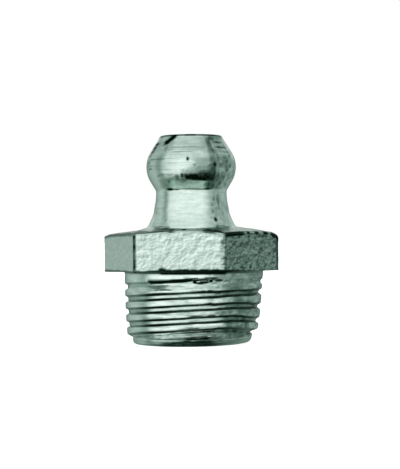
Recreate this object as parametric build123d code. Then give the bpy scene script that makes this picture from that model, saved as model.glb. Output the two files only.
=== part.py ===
from build123d import *
import math
import os

# Straight grease nipple with a taper-thread shank, millimetres.
# Row frame: +Z up along the turning axis, origin at the centre of the shank's
# end face, one flat of the hexagon facing -Y, grease inlet on top.

# ---- driving dimensions -------------------------------------------------
HEX_AF = 11.0            # hexagon across flats
HEX_BOTTOM_Z = 5.20      # underside of the hexagon = length of the shank
HEX_CORNER_H = 2.54      # height of the hexagon at its corners
HEX_CHAMFER_R = 5.70     # where the corner chamfer runs into the top face
HEX_CHAMFER_H = 2.695    # height there

TOTAL_H = 14.90          # end face to inlet face

THREAD_R = 4.864         # major radius of the R 1/8 thread at its gauge plane
PILOT_R = 4.27           # plain pilot below the last thread
PILOT_LOW_Z = 0.20       # lower end of the pilot, above its broken edge
PILOT_TOP_Z = 0.56       # upper end
THREAD_LEAD_Z = 0.90     # where the lead reaches the thread's major radius
THREAD_TOP_Z = 4.20      # where the threaded stretch stops
COLLAR_R = 5.02          # plain band under the hexagon
END_FACE_R = 4.02        # outer radius of the flat end face

NECK_R = 2.525           # waist under the head
NECK_ARC_R = 4.90        # radius of the hollow neck
NECK_TOP = 5.66          # waist height above the hexagon's underside
NECK_FOOT = 3.16         # foot of the neck's arc, above the hexagon's underside
HEAD_R = 3.245           # largest radius of the head
HEAD_Z = 7.45            # its height above the hexagon's underside
HEAD_ARC_R = 2.05        # radius of the head's rounded belly
HEAD_LOW_DEG = 31.0      # half angle of the cone below the belly
HEAD_TOP_DEG = 32.4      # half angle of the cone above it
RIM_R = 2.335            # outer radius at the top of that cone
RIM_FACE_R = 2.20        # outer radius of the flat inlet face

BORE_R = 1.45            # drilled bore, from the shank's end
INLET_R = 0.80           # inlet hole
INLET_SINK_R = 1.10      # its countersink at the face
SEAT_Z = 14.35           # where the inlet hole opens into the ball seat
LIP_R = 0.85             # outlet, inside the staked lip
LIP_LOW_Z = 0.30         # underside of the lip's narrowest stretch
LIP_TOP_Z = 0.62         # its upper side
LIP_SINK_R = 1.20        # mouth of the outlet at the end face
STAKE_IN_R = 1.55        # ring groove left by the staking punch: inner edge
STAKE_MID_R = 1.80       # deepest line
STAKE_OUT_R = 2.15       # outer edge
STAKE_DEPTH = 0.28

BALL_R = 1.25            # check ball, 2.5 mm
SEAT_GAP = 0.02          # ball to seat cone, ball at rest

WIRE_R = 0.14            # spring wire, 0.28 mm
COIL_R = 0.98            # mean coil radius
END_PITCH = 0.295        # pitch of the closed end turns
ACTIVE_TURNS = 9
END_TURNS = 1.0
SPRING_GAP = 0.02        # spring to ball and to lip, at rest

os.makedirs("parts", exist_ok=True)


def rad(d):
    return math.radians(d)


def revolved(points_edges):
    """Solid of revolution about Z from edges drawn in the XZ plane."""
    face = make_face(Wire(points_edges))
    return revolve(face, Axis.Z)


def P(r, z):
    return Vector(r, 0, z)


# ---- body: outer form ---------------------------------------------------
H = HEX_BOTTOM_Z

# shank: end face, lead, threaded stretch as its plain envelope, collar
shank_pts = [
    (0, 0), (END_FACE_R, 0), (PILOT_R - 0.08, 0.07), (PILOT_R, PILOT_LOW_Z),
    (PILOT_R, PILOT_TOP_Z), (THREAD_R, THREAD_LEAD_Z), (THREAD_R, THREAD_TOP_Z),
    (COLLAR_R, THREAD_TOP_Z + (COLLAR_R - THREAD_R)), (COLLAR_R, H), (0, H),
]
shank = revolved(Polyline(*[P(r, z) for r, z in shank_pts], close=True).edges())

# top face of the hexagon with its shallow cone and the neck above it
neck_cz = H + NECK_TOP
foot_dz = NECK_TOP - NECK_FOOT
foot_r = NECK_R + NECK_ARC_R - math.sqrt(NECK_ARC_R ** 2 - foot_dz ** 2)
mid_dz = foot_dz * 0.55
mid_r = NECK_R + NECK_ARC_R - math.sqrt(NECK_ARC_R ** 2 - mid_dz ** 2)

head_cr = HEAD_R - HEAD_ARC_R
head_cz = H + HEAD_Z
low = rad(HEAD_LOW_DEG)
top = rad(HEAD_TOP_DEG)
low_pt = (head_cr + HEAD_ARC_R * math.cos(low), head_cz - HEAD_ARC_R * math.sin(low))
top_pt = (head_cr + HEAD_ARC_R * math.cos(top), head_cz + HEAD_ARC_R * math.sin(top))
rim_z = top_pt[1] + (top_pt[0] - RIM_R) / math.tan(top)

corner_r = HEX_AF / math.sqrt(3) + 0.4
corner_slope = (HEX_CHAMFER_H - HEX_CORNER_H) / (HEX_AF / math.sqrt(3) - HEX_CHAMFER_R)
corner_z = H + HEX_CHAMFER_H - corner_slope * (corner_r - HEX_CHAMFER_R)

dish_out = (4.24, H + 2.84)
dish_mid = (3.60, H + 2.975)
foot = (foot_r, H + NECK_FOOT)

upper_edges = [
    Line(P(0, H), P(corner_r, H)),
    Line(P(corner_r, H), P(corner_r, corner_z)),
    Line(P(corner_r, corner_z), P(HEX_CHAMFER_R, H + HEX_CHAMFER_H)),
    Line(P(HEX_CHAMFER_R, H + HEX_CHAMFER_H), P(*dish_out)),
    ThreePointArc(P(*dish_out), P(*dish_mid), P(*foot)),
    ThreePointArc(P(*foot), P(mid_r, neck_cz - mid_dz), P(NECK_R, neck_cz)),
    Line(P(NECK_R, neck_cz), P(*low_pt)),
    ThreePointArc(P(*low_pt), P(HEAD_R, head_cz), P(*top_pt)),
    Line(P(*top_pt), P(RIM_R, rim_z)),
    ThreePointArc(P(RIM_R, rim_z),
                  P(RIM_R - 0.035, rim_z + 0.62 * (TOTAL_H - rim_z)),
                  P(RIM_FACE_R, TOTAL_H)),
    Line(P(RIM_FACE_R, TOTAL_H), P(0, TOTAL_H)),
    Line(P(0, TOTAL_H), P(0, H)),
]
upper = revolved([e.edge() for e in upper_edges])

# the hexagon cuts that form; the neck and head lie inside it
hexagon = extrude(
    Plane.XY.offset(H) * RegularPolygon(radius=HEX_AF / 2, side_count=6,
                                        major_radius=False, rotation=0),
    TOTAL_H - H)
outer = shank + (upper & hexagon)

# ---- body: bore, seat, inlet and staked outlet ---------------------------
seat_z0 = SEAT_Z - (BORE_R - INLET_R)          # 45 degree seat cone
bore_pts = [
    (0, -0.5), (LIP_SINK_R, -0.5), (LIP_SINK_R, 0),
    (LIP_R, LIP_LOW_Z), (LIP_R, LIP_TOP_Z), (BORE_R, LIP_TOP_Z + 0.12),
    (BORE_R, seat_z0), (INLET_R, SEAT_Z),
    (INLET_R, TOTAL_H - (INLET_SINK_R - INLET_R)), (INLET_SINK_R, TOTAL_H),
    (INLET_SINK_R, TOTAL_H + 0.5), (0, TOTAL_H + 0.5),
]
bore = revolved(Polyline(*[P(r, z) for r, z in bore_pts], close=True).edges())

stake_pts = [
    (STAKE_IN_R, -0.5), (STAKE_IN_R, 0), (STAKE_MID_R, STAKE_DEPTH),
    (STAKE_OUT_R, 0), (STAKE_OUT_R, -0.5),
]
stake = revolved(Polyline(*[P(r, z) for r, z in stake_pts], close=True).edges())

body = outer - bore - stake
body = body.solids()[0] if len(body.solids()) == 1 else body

# ---- check ball ---------------------------------------------------------
# tangent to the 45 degree seat with the running gap
ball_z = INLET_R + SEAT_Z - math.sqrt(2) * (BALL_R + SEAT_GAP)
ball = Pos(0, 0, ball_z) * Sphere(BALL_R)

# ---- spring -------------------------------------------------------------
# open coil with one closed turn at each end, from the staked lip to the ball
reach = math.sqrt((BALL_R + WIRE_R + SPRING_GAP) ** 2 - COIL_R ** 2)
spring_top = ball_z - reach                     # wire centre of the last turn
spring_low = LIP_TOP_Z + 0.12 + WIRE_R + SPRING_GAP
active_h = spring_top - spring_low - 2 * END_TURNS * END_PITCH
pitch = active_h / ACTIVE_TURNS


def coil(z0, height, p):
    path = Pos(0, 0, z0) * Helix(pitch=p, height=height, radius=COIL_R)
    section = Plane(origin=path @ 0, z_dir=path % 0) * Circle(WIRE_R)
    return sweep(section, path=path, is_frenet=True)


h_end = END_TURNS * END_PITCH
spring = (coil(spring_low, h_end, END_PITCH)
          + coil(spring_low + h_end, active_h, pitch)
          + coil(spring_low + h_end + active_h, h_end, END_PITCH))
spring_len = 2 * math.hypot(2 * math.pi * COIL_R * END_TURNS, h_end) \
    + math.hypot(2 * math.pi * COIL_R * ACTIVE_TURNS, active_h)
print("spring volume expected %.3f" % (math.pi * WIRE_R ** 2 * spring_len))

nodes = {
    "nipple_body": body,
    "check_ball": ball,
    "ball_spring": spring,
}
for name, shape in nodes.items():
    export_step(Part() + shape if not isinstance(shape, Solid) else shape,
                os.path.join("parts", name + ".step"))
    bb = shape.bounding_box()
    print(name, "volume %.3f" % shape.volume,
          "z %.3f..%.3f" % (bb.min.Z, bb.max.Z), "valid", shape.is_valid)
print("ball centre z %.4f  spring wire centres z %.4f..%.4f  pitch %.4f"
      % (ball_z, spring_low, spring_top, pitch))
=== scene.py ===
import math

import bmesh
import bpy
import numpy as np
from mathutils import Matrix, Vector


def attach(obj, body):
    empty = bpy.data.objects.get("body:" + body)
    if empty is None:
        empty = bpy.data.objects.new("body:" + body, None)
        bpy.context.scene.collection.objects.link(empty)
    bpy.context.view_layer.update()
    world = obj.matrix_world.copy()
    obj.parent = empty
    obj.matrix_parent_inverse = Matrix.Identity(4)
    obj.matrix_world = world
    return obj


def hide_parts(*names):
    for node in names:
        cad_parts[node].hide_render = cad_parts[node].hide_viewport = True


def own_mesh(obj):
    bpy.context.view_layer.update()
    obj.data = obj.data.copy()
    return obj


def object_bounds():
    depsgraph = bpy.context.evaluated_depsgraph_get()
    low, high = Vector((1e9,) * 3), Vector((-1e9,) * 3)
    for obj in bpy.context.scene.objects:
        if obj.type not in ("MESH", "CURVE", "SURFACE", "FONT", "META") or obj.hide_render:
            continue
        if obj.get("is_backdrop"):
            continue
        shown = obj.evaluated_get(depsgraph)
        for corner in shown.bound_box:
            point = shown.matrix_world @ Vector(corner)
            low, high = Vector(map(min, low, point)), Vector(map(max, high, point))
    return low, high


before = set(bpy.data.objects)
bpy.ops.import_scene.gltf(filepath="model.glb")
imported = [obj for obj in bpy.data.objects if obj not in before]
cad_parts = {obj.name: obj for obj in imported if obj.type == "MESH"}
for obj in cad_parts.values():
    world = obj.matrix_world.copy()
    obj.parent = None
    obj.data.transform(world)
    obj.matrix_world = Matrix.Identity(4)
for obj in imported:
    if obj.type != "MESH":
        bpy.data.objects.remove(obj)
CAD_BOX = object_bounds()

MM = 0.001

# --------------------------------------------------------------------------------------------------
# Sizes of the body, in millimetres, in the shared frame
# --------------------------------------------------------------------------------------------------
HZ = 5.20                 # hexagon underside
AF = 11.0                 # hexagon across flats
TOTAL = 14.90
PITCH = 0.907             # 28 threads to the inch
GROOVE_Z0 = -1.147        # a groove's centre at plane angle 188.5 deg, from the hexagon's underside
CAM_AZ = 8.5              # the camera's azimuth in degrees, 0 looks along +Y
FRONT = 270.0 + CAM_AZ    # plane angle of the side that faces the camera
UX, UY = math.cos(math.radians(CAM_AZ)), math.sin(math.radians(CAM_AZ))   # sideways, as the camera sees it


# --------------------------------------------------------------------------------------------------
# Seeded value noise and small helpers
# --------------------------------------------------------------------------------------------------
def _hash(ix, iy, iz, seed):
    n = (ix * 73856093) ^ (iy * 19349663) ^ (iz * 83492791) ^ (seed * 2654435761 & 0xFFFFFFFF)
    n &= 0xFFFFFFFF
    n = ((n ^ (n >> 13)) * 1274126177) & 0xFFFFFFFF
    n = ((n ^ (n >> 15)) * 668265263) & 0xFFFFFFFF
    return ((n ^ (n >> 16)) & 0xFFFF) / 32767.5 - 1.0


def noise3(x, y, z, size, seed):
    """Smooth noise in -1..1; size is the distance between its lattice points."""
    x, y, z = np.broadcast_arrays(np.asarray(x, float), np.asarray(y, float), np.asarray(z, float))
    q = [c / size + 100.0 for c in (x, y, z)]
    i = [np.floor(c).astype(np.int64) for c in q]
    f = [c - k for c, k in zip(q, i)]
    w = [c * c * c * (c * (c * 6 - 15) + 10) for c in f]
    out = 0.0
    for dx in (0, 1):
        for dy in (0, 1):
            for dz in (0, 1):
                v = _hash(i[0] + dx, i[1] + dy, i[2] + dz, seed)
                out = out + v * (w[0] if dx else 1 - w[0]) * (w[1] if dy else 1 - w[1]) * (w[2] if dz else 1 - w[2])
    return out


def skin_noise(th, r, z, size, seed, stretch=1.0):
    """Noise over a turned surface; stretch > 1 draws it out around the axis."""
    a = np.radians(th)
    return noise3(r * np.cos(a) / stretch, r * np.sin(a) / stretch, z, size, seed)


def smooth(a, b, x):
    t = np.clip((np.asarray(x, float) - a) / (b - a), 0, 1)
    return t * t * (3 - 2 * t)


def smin(a, b, k):
    h = np.clip(0.5 + 0.5 * (b - a) / k, 0, 1)
    return b * (1 - h) + a * h - k * h * (1 - h)


def wrap180(d):
    return (np.asarray(d, float) + 180.0) % 360.0 - 180.0


def side(th):
    """Degrees from the front, positive to the camera's right."""
    return wrap180(np.asarray(th, float) - FRONT)


def bell(x, width):
    return np.exp(-(np.asarray(x, float) / width) ** 2)


def window(x, a, b, soft):
    return smooth(a - soft, a + soft, x) * (1 - smooth(b - soft, b + soft, x))


def around(table, th, blur=9.0):
    """A smooth periodic curve through (side, value) pairs."""
    p = np.array(sorted(table))
    xs = np.concatenate([p[:, 0] - 360, p[:, 0], p[:, 0] + 360])
    ys = np.tile(p[:, 1], 3)
    g = np.arange(-180, 180, 1.0)
    v = np.interp(g, xs, ys)
    k = np.exp(-(wrap180(g) / blur) ** 2)
    k /= k.sum()
    v = np.real(np.fft.ifft(np.fft.fft(v) * np.fft.fft(np.roll(k, -180))))
    return np.interp(side(th), np.append(g, 180.0), np.append(v, v[0]))


def spots(table, th, z, r):
    """Soft-edged oval marks: side in degrees, height, half length, half width, turn, strength."""
    out = np.zeros(np.broadcast(th, z, r).shape)
    p = side(th)
    for s0, h0, a, b, rot, strength in table:
        u = np.radians(wrap180(p - s0)) * r
        v = z - h0
        c, q = math.cos(math.radians(rot)), math.sin(math.radians(rot))
        d = np.sqrt(((u * c + v * q) / a) ** 2 + ((-u * q + v * c) / b) ** 2)
        out = np.maximum(out, strength * (1 - smooth(0.6, 1.3, d)))
    return out


def bands(table, th, z):
    """Turned lines: height, half width, from side, to side, softness of the ends, strength."""
    out = np.zeros(np.broadcast(th, z).shape)
    p = side(th)
    for h0, w, s0, s1, soft, strength in table:
        a = np.radians(th)
        n = 1.0 + 0.35 * noise3(np.cos(a) * 2.6, np.sin(a) * 2.6, h0 * 7.0, 0.30, 71)
        out = np.maximum(out, np.clip(strength * n, 0, 1) * bell(z - h0, w) * window(p, s0, s1, soft))
    return out


# --------------------------------------------------------------------------------------------------
# Column angles
# --------------------------------------------------------------------------------------------------
def outer_angles():
    a = set(float(k) for k in range(360))
    for c in range(0, 360, 60):
        for d in (0.16, 0.34, 0.55, -0.16, -0.34, -0.55):
            a.add((c + d) % 360.0)
    return np.array(sorted(a))


TH_C = outer_angles()                         # shank and hexagon
TH_B = np.arange(240) * 1.5                   # neck, head, end face
TH_A = np.arange(120) * 3.0                   # inside


class Builder:
    """A closed skin made of rings; tone is a point's reflectance with painted light and shade in it, flat how much it
    is mottled, the streak value how streaked along the ridges.
    """

    def __init__(self):
        self.v, self.tone, self.flat, self.wear, self.f, self.n = [], [], [], [], [], 0

    def points(self, th, r, z, off=0.0, tone=1.0, flat=0.0, wear=0.0):
        th = np.asarray(th, float)
        a = np.radians(th)
        r, z, off, tone, flat, wear = (np.broadcast_to(q, th.shape).astype(float) for q in (r, z, off, tone, flat, wear))
        self.v.append(np.stack([r * np.cos(a) + off * UX, r * np.sin(a) + off * UY, z], 1))
        self.tone.append(tone)
        self.flat.append(flat)
        self.wear.append(wear)
        ids = np.arange(self.n, self.n + len(th))
        self.n += len(th)
        return ids

    ring = points

    def strip(self, a, b):
        """Quads between two rings with the same columns."""
        n = len(a)
        for j in range(n):
            k = (j + 1) % n
            self.f.append((a[j], a[k], b[k], b[j]))

    def bridge(self, a, ta, b, tb):
        """Triangles between two rings with different columns; both start at angle 0."""
        na, nb = len(a), len(b)
        ta = np.append(ta, 360.0)
        tb = np.append(tb, 360.0)
        i = j = 0
        while i < na or j < nb:
            if j >= nb or (i < na and ta[i + 1] <= tb[j + 1]):
                self.f.append((a[i % na], a[(i + 1) % na], b[j % nb]))
                i += 1
            else:
                self.f.append((a[i % na], b[(j + 1) % nb], b[j % nb]))
                j += 1


def fan(bld, pa, pb):
    """Fill between two short columns of points that share their ends' rows."""
    i = j = 0
    while i < len(pa) - 1 or j < len(pb) - 1:
        ra, rb = len(pa) - 1 - i, len(pb) - 1 - j
        if ra and rb and ra == rb:
            bld.f.append((pa[i], pb[j], pb[j + 1], pa[i + 1]))
            i += 1
            j += 1
        elif ra > rb:
            bld.f.append((pa[i], pb[j], pa[i + 1]))
            i += 1
        else:
            bld.f.append((pa[i], pb[j], pb[j + 1]))
            j += 1


# --------------------------------------------------------------------------------------------------
# Shank: pilot, thread, run-out, collar. The shank stands a little out of true with the hexagon.
# --------------------------------------------------------------------------------------------------
DEPTH = 0.285
Z_BOT, Z_TOP = 0.53, 4.78
# the cutter's path isn't a perfect helix: side, rise in mm
DRIFT = [(-180, -0.20), (-135, -0.12), (-90, 0.0), (-62, 0.10), (-35, 0.17), (-2, 0.25), (29, 0.26), (60, 0.13), (90, -0.08), (135, -0.17)]
# and it wanders at some turns: turns from the start, rise
WANDER = [(0.50, -0.03), (-0.50, 0.12), (-1.50, -0.02), (-2.50, -0.13), (-3.50, -0.07), (0.00, 0.02), (-1.00, 0.03), (-2.00, 0.03), (-3.00, 0.03)]


# and lies a little higher or lower along parts of a turn
NUDGE = [(-9.0, 0.0), (-4.0, 0.0), (-3.93, 0.05), (-3.88, 0.095), (-3.75, 0.105), (-3.66, 0.150), (-3.634, 0.09), (-3.60, 0.03), (-3.5, 0.0),
         (-3.0, 0.0), (-2.93, 0.01), (-2.88, 0.03), (-2.85, 0.042), (-2.78, 0.050), (-2.74, 0.066), (-2.70, 0.050), (-2.65, 0.088), (-2.58, 0.03), (-2.5, 0.0),
         (-2.0, 0.0), (-1.90, 0.012), (-1.78, 0.032), (-1.70, 0.022), (-1.65, 0.050), (-1.58, 0.02), (-1.5, 0.0),
         (-1.0, 0.0), (-0.80, 0.0), (-0.74, -0.020), (-0.70, -0.038), (-0.66, -0.005), (-0.5, 0.0), (0.0, 0.0), (0.10, -0.025), (0.15, -0.036), (0.22, -0.036), (0.25, 0.0), (9.0, 0.0)]


def shank_off(z):
    return 0.060 + 0.034 * (np.asarray(z, float) - 0.4)


def path_z(turn, th):
    """Height of the groove's middle; turn counts from plane angle 188.5 deg, negative downwards."""
    w = sum(d * bell(turn - t, 0.11) for t, d in WANDER)
    w = w + np.interp(turn, [k[0] for k in NUDGE], [k[1] for k in NUDGE])
    return HZ + GROOVE_Z0 + PITCH * turn + around(DRIFT, th) + w


# painted light and shade of the plain collar, by side
COLLAR_TABLE = [(-180, 0.7), (-90, 0.9), (-60, 1.06), (-38, 1.12), (-1, 1.12), (5, 1.02), (9, 0.92), (13, 0.80), (17, 0.62), (21, 0.62), (25, 0.67), (29, 0.76),
                (35, 0.84), (43, 0.94), (50, 0.86), (56, 0.74), (66, 0.60), (75, 0.50), (90, 0.5), (120, 0.7)]


def groove_shape(turn, th):
    """Half width of the root and width of the flank, below and above the groove's middle."""
    p = side(th)
    right = window(p, 52, 128, 16)
    half = 0.108 - 0.063 * right
    flank = 0.145 + 0.075 * right
    # the last turn runs out wide and shallow
    k = window(turn, 0.14, 0.42, 0.10)
    half_lo = half + 0.085 * k
    flank_lo = flank + 0.16 * k
    half_up = half - 0.025 * k
    return half_lo, flank_lo, half_up, flank


def nearest_groove(th, z):
    th, z = np.broadcast_arrays(np.asarray(th, float), np.asarray(z, float))
    f = (th - 188.5) / 360.0
    t0 = (z - HZ - GROOVE_Z0 - around(DRIFT, th)) / PITCH
    n = np.round(f - t0)
    best = None
    for k in (-1, 0, 1):
        turn = f - (n + k)
        dz = z - path_z(turn, th)
        if best is None:
            best = [dz, turn]
        else:
            m = np.abs(dz) < np.abs(best[0])
            best = [np.where(m, dz, best[0]), np.where(m, turn, best[1])]
    return best[0], best[1]


def thread_surface(th, z):
    """Radius and tone of the shank between the pilot and the collar, th in degrees, z in mm."""
    th, z = np.broadcast_arrays(np.asarray(th, float), np.asarray(z, float))
    zr = z - HZ
    p = side(th)
    crest = np.interp(zr, [-4.9, -4.4, -3.71, -2.77, -1.84, -1.0, -0.7], [4.66, 4.70, 4.777, 4.863, 4.914, 4.96, 4.983])
    dz, turn = nearest_groove(th, z)
    half_lo, flank_lo, half_up, flank_up = groove_shape(turn, th)
    # the right-hand side is rougher
    rag = window(p, 8, 75, 12)
    dz = dz + (0.010 + 0.014 * rag) * skin_noise(th, 4.9, z, 0.50, 7, 1.6) + 0.009 * rag * skin_noise(th, 4.9, z, 0.24, 9, 1.6)
    half = np.where(dz < 0, half_lo, half_up)
    flank = np.where(dz < 0, flank_lo, flank_up)
    a = np.abs(dz)
    centre = path_z(turn, th)
    # the groove runs out under the collar
    fade = (1.0 - 0.30 * smooth(0.10, 0.26, turn) - 0.58 * window(turn, 0.285, 0.445, 0.025) - 0.70 * smooth(0.46, 0.76, turn))
    depth = DEPTH * (1 - 0.26 * window(p, -135, -64, 12) - 0.12 * window(p, 66, 120, 12)) + 0.012 * skin_noise(th, 4.9, z, 0.9, 8, 1.5)
    h = np.clip((a - half) / flank, 0, 1)                 # 0 in the root, 1 on the crest
    hs = 0.30 * h * h * (3 - 2 * h) + 0.70 * h
    hs = np.where(p > 40, 0.75 * h * h * (3 - 2 * h) + 0.25 * h, hs)
    c = np.clip((a - half - flank) / 0.2, 0, 1)
    dome = 0.008 * (1 - c) ** 2
    dome = dome + 0.030 * window(p, 55, 125, 14) * (1 - c) ** 2
    ramp = window(turn, 0.045, 0.42, 0.02) * (dz < 0)
    hs = hs * (1 - ramp) + ramp * np.clip(-dz / 0.50, 0, 1)
    r = crest - depth * fade * (1 - hs) - np.where(h >= 1, dome, 0.008 * h)
    # below the last groove only the turned-down lead is left
    last = 1 - smooth(1.08, 1.32, np.where(dz < 0, centre, path_z(turn + 1, th)))
    lead = 4.345 + 0.13 * (z - 0.56) + 0.010 * skin_noise(th, 4.4, z, 0.30, 15)
    r = r * (1 - last) + np.minimum(r, lead) * last
    deep = window(p, 62, 122, 14) * bell(z - 0.80, 0.14)
    r = r - 0.27 * deep * (z < 1.1)
    r = np.maximum(r, 4.27 - 0.19 * deep)
    # left of the front the thread starts with a steep step
    step = 4.27 + np.clip(z - 0.48, 0, 9) * around([(-180, 1.6), (-90, 2.0), (-40, 3.2), (0, 5.0), (40, 3.0), (90, 0.95), (135, 1.2)], th)
    r = smin(r, step, 0.03)

    # painted shade along the flanks, with some residue, in lines of uneven width
    mid = half + 0.5 * flank
    n1 = skin_noise(th, 4.9, z, 0.34, 41, 1.8)
    n2 = skin_noise(th, 4.9, z, 0.16, 42, 1.2)
    n3 = skin_noise(th, 4.9, z, 0.75, 43, 2.2)
    up = dz > 0
    black = window(p, -40.8, 2.6, 1.2) * window(turn, 0.05, 0.60, 0.01)
    thick = 0.012 * n1 + 0.014 * n3 + 0.046 * black * up + 0.006 * window(p, 24, 90, 8) + 0.006 * window(p, -45, -24, 4)
    line = 1 - smooth(0.058 + thick, 0.121 + thick, np.abs(a - mid))
    s = around([(-180, 0.62), (-110, 0.55), (-90, 0.45), (-64, 0.42), (-55, 0.52), (-46, 0.90), (-41, 0.985), (-24, 0.975), (-17, 0.91),
                (-6, 0.84), (3, 0.86), (10, 0.92), (18, 0.93), (26, 0.88), (34, 0.74), (60, 0.70), (90, 0.66), (120, 0.62)], th, 3.0)
    mid_part = window(p, -17, 12, 4)
    s = s * (1 - mid_part * np.clip(0.06 + 0.22 * n1 + 0.14 * n2, 0, 0.42))
    s = s * (1 - window(p, 20, 100, 5) * np.clip(0.05 + 0.40 * n1 + 0.30 * n2, 0, 0.6))
    run = window(turn, 0.05, 0.60, 0.02)
    s = np.where(up, s * (1 - run) + run * np.maximum(0.992 * black, s * (0.55 * (p > 3) + 0.40 * (p < -41))), s * (1 - 0.92 * run))
    s = np.clip(s, 0, 0.99) * np.clip(fade * 1.6, 0, 1)
    # the line under the last groove isn't there: the lead begins
    s = s * (1 - 0.8 * last)
    # a little painted light left of the front
    tone = (1.08 + 0.07 * window(p, -45, -18, 3)) * (1 - s * line)
    # painted shade in the groove roots, by side
    root = 1 - smooth(half - 0.03, half + 0.05, a)
    rt = around([(-180, 0.35), (-90, 0.30), (-60, 0.40), (-48, 0.42), (-38, 0.14), (-10, 0.08), (10, 0.14), (22, 0.36), (50, 0.52), (90, 0.42)], th, 3.0)
    tone = tone * (1 - rt * root * np.clip(fade, 0.3, 1) * (1 + 0.3 * n1))
    # right of the middle: painted shade on the side turned from the light, deepest just below the collar where the
    # hexagon overhangs, and blotched
    base = around([(-180, 0.25), (-90, 0.10), (-60, 0.0), (0, 0.0), (12, 0.04), (19, 0.09), (25, 0.29), (35, 0.29), (60, 0.33), (70, 0.43), (90, 0.42), (120, 0.3)], th, 2.0)
    base_top = around([(-180, 0.25), (-90, 0.10), (-60, 0.0), (0, 0.0), (5, 0.20), (12, 0.24), (18, 0.40), (25, 0.50), (35, 0.46), (43, 0.34), (56, 0.24), (70, 0.36), (90, 0.4), (120, 0.3)], th, 2.0)
    near = window(z, 4.03, 4.40, 0.07)
    blot = window(p, 14, 100, 5)
    tone = tone * (1 - np.clip(base * (1 - near) * (z < 4.3) + base_top * near + blot * (0.36 * n1 + 0.26 * n2) * (1 - 0.4 * near), 0, 0.88))
    # a little painted light over the same side above the lead
    tone = tone * (1 + 0.11 * window(p, 17, 76, 5) * smooth(0.9, 1.3, z))
    high = smooth(4.36, 4.46, z)
    tone = tone * (1 - high + high * around(COLLAR_TABLE, th, 2.5) / 1.06)
    tone = tone * (1 - window(p, -26, 14, 4) * np.clip(0.03 + 0.07 * n1 + 0.05 * n2, 0, 0.2))
    # the turned-down lead is darker and duller all round, with painted shade deepening towards the right
    lead_m = np.where(z < 1.15, last, 0.0)
    n4 = skin_noise(th, 4.4, z, 0.20, 44, 1.4)
    tone = tone * (1 - lead_m * np.clip(around([(-180, 0.3), (-50, 0.28), (-30, 0.29), (-8, 0.31), (2, 0.29), (10, 0.30), (20, 0.34), (28, 0.44), (60, 0.42)], th) + 0.10 * n4, 0, 0.85))
    # the run-out ends beside a scar; there the tone takes the collar's painted light and shade
    here = window(p, -1.0, 19.0, 1.0) * window(z, 4.34, 4.75, 0.03)
    tone = tone * (1 - here) + np.minimum(1.04, around(COLLAR_TABLE, th, 2.5)) * here
    r = r - 0.045 * spots([(7.6, 4.545, 0.70, 0.115, 4, 1.0)], th, z, 4.97)
    smear = spots([(3.0, 4.085, 1.25, 0.035, 2, 0.40), (-31.0, 4.080, 0.55, 0.040, 2, 0.30)], th, z, 4.97)
    tone = tone * (1 - smear)
    return r, np.clip(tone, 0.015, 1.15)


def helix_zone(bld, th, ring_bot, z_bot, ring_top, z_top):
    """Rows that follow the helix, stitched to a flat ring at each end."""
    n = len(th)
    k = 16
    margin = 0.020
    zs = np.full((n, 10 * k), np.nan)
    f = (th - 188.5) / 360.0
    for q0, turn0 in enumerate(range(-7, 3)):
        turn = f + turn0
        c = path_z(turn, th)
        up = path_z(turn + 1, th)
        lo, flo, hi, fhi = groove_shape(turn, th)
        lo2, flo2 = groove_shape(turn + 1, th)[:2]
        rows = [c, c + 0.5 * hi, c + hi, c + hi + 0.25 * fhi, c + hi + 0.50 * fhi, c + hi + 0.75 * fhi, c + hi + fhi]
        top_edge = c + hi + fhi
        next_edge = up - lo2 - flo2
        gap = next_edge - top_edge
        rows += [top_edge + 0.10 * gap, top_edge + 0.50 * gap, top_edge + 0.90 * gap, next_edge]
        rows += [next_edge + 0.25 * flo2, next_edge + 0.50 * flo2, next_edge + 0.75 * flo2, next_edge + flo2, up - 0.5 * lo2]
        for q, z in enumerate(rows):
            zs[:, q0 * k + q] = z
    keep = (zs > z_bot + margin) & (zs < z_top - margin)
    jj, mm = np.nonzero(keep)
    zz = zs[jj, mm]
    rr, tt = thread_surface(th[jj], zz)
    start = bld.n
    # how strongly the ridges are streaked, by side, strongest in front
    wear = around([(-180, 0.4), (-60, 0.2), (-44, 0.15), (-26, 0.35), (-16, 0.95), (12, 0.95), (20, 0.75), (60, 0.7), (90, 0.5)], th[jj], 3.0)
    # right of the front the thread takes the flats' mottle, with its painted dimple shading and darkening
    bld.points(th[jj], rr, zz, shank_off(zz), tt, window(side(th[jj]), 17, 76, 5) * (0.45 + 0.40 * smooth(4.30, 4.46, zz)) * smooth(0.9, 1.3, zz), wear)
    ids = [dict() for _ in range(n)]
    for i, (j, m) in enumerate(zip(jj.tolist(), mm.tolist())):
        ids[j][m] = start + i
    for j in range(n):
        nxt = (j + 1) % n
        A = ids[j]
        # at the wrap, a row goes on as the one a turn higher
        B = ids[nxt] if nxt else {m - k: v for m, v in ids[0].items()}
        b0, b1 = ring_bot[j], ring_bot[nxt]
        t0, t1 = ring_top[j], ring_top[nxt]
        common = sorted(set(A) & set(B))
        lo, hi = common[0], common[-1]
        for m in common[:-1]:
            bld.f.append((A[m], B[m], B[m + 1], A[m + 1]))
        fan(bld, [b0] + [A[m] for m in sorted(A) if m < lo] + [A[lo]], [b1] + [B[m] for m in sorted(B) if m < lo] + [B[lo]])
        fan(bld, [A[hi]] + [A[m] for m in sorted(A) if m > hi] + [t0], [B[hi]] + [B[m] for m in sorted(B) if m > hi] + [t1])


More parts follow.
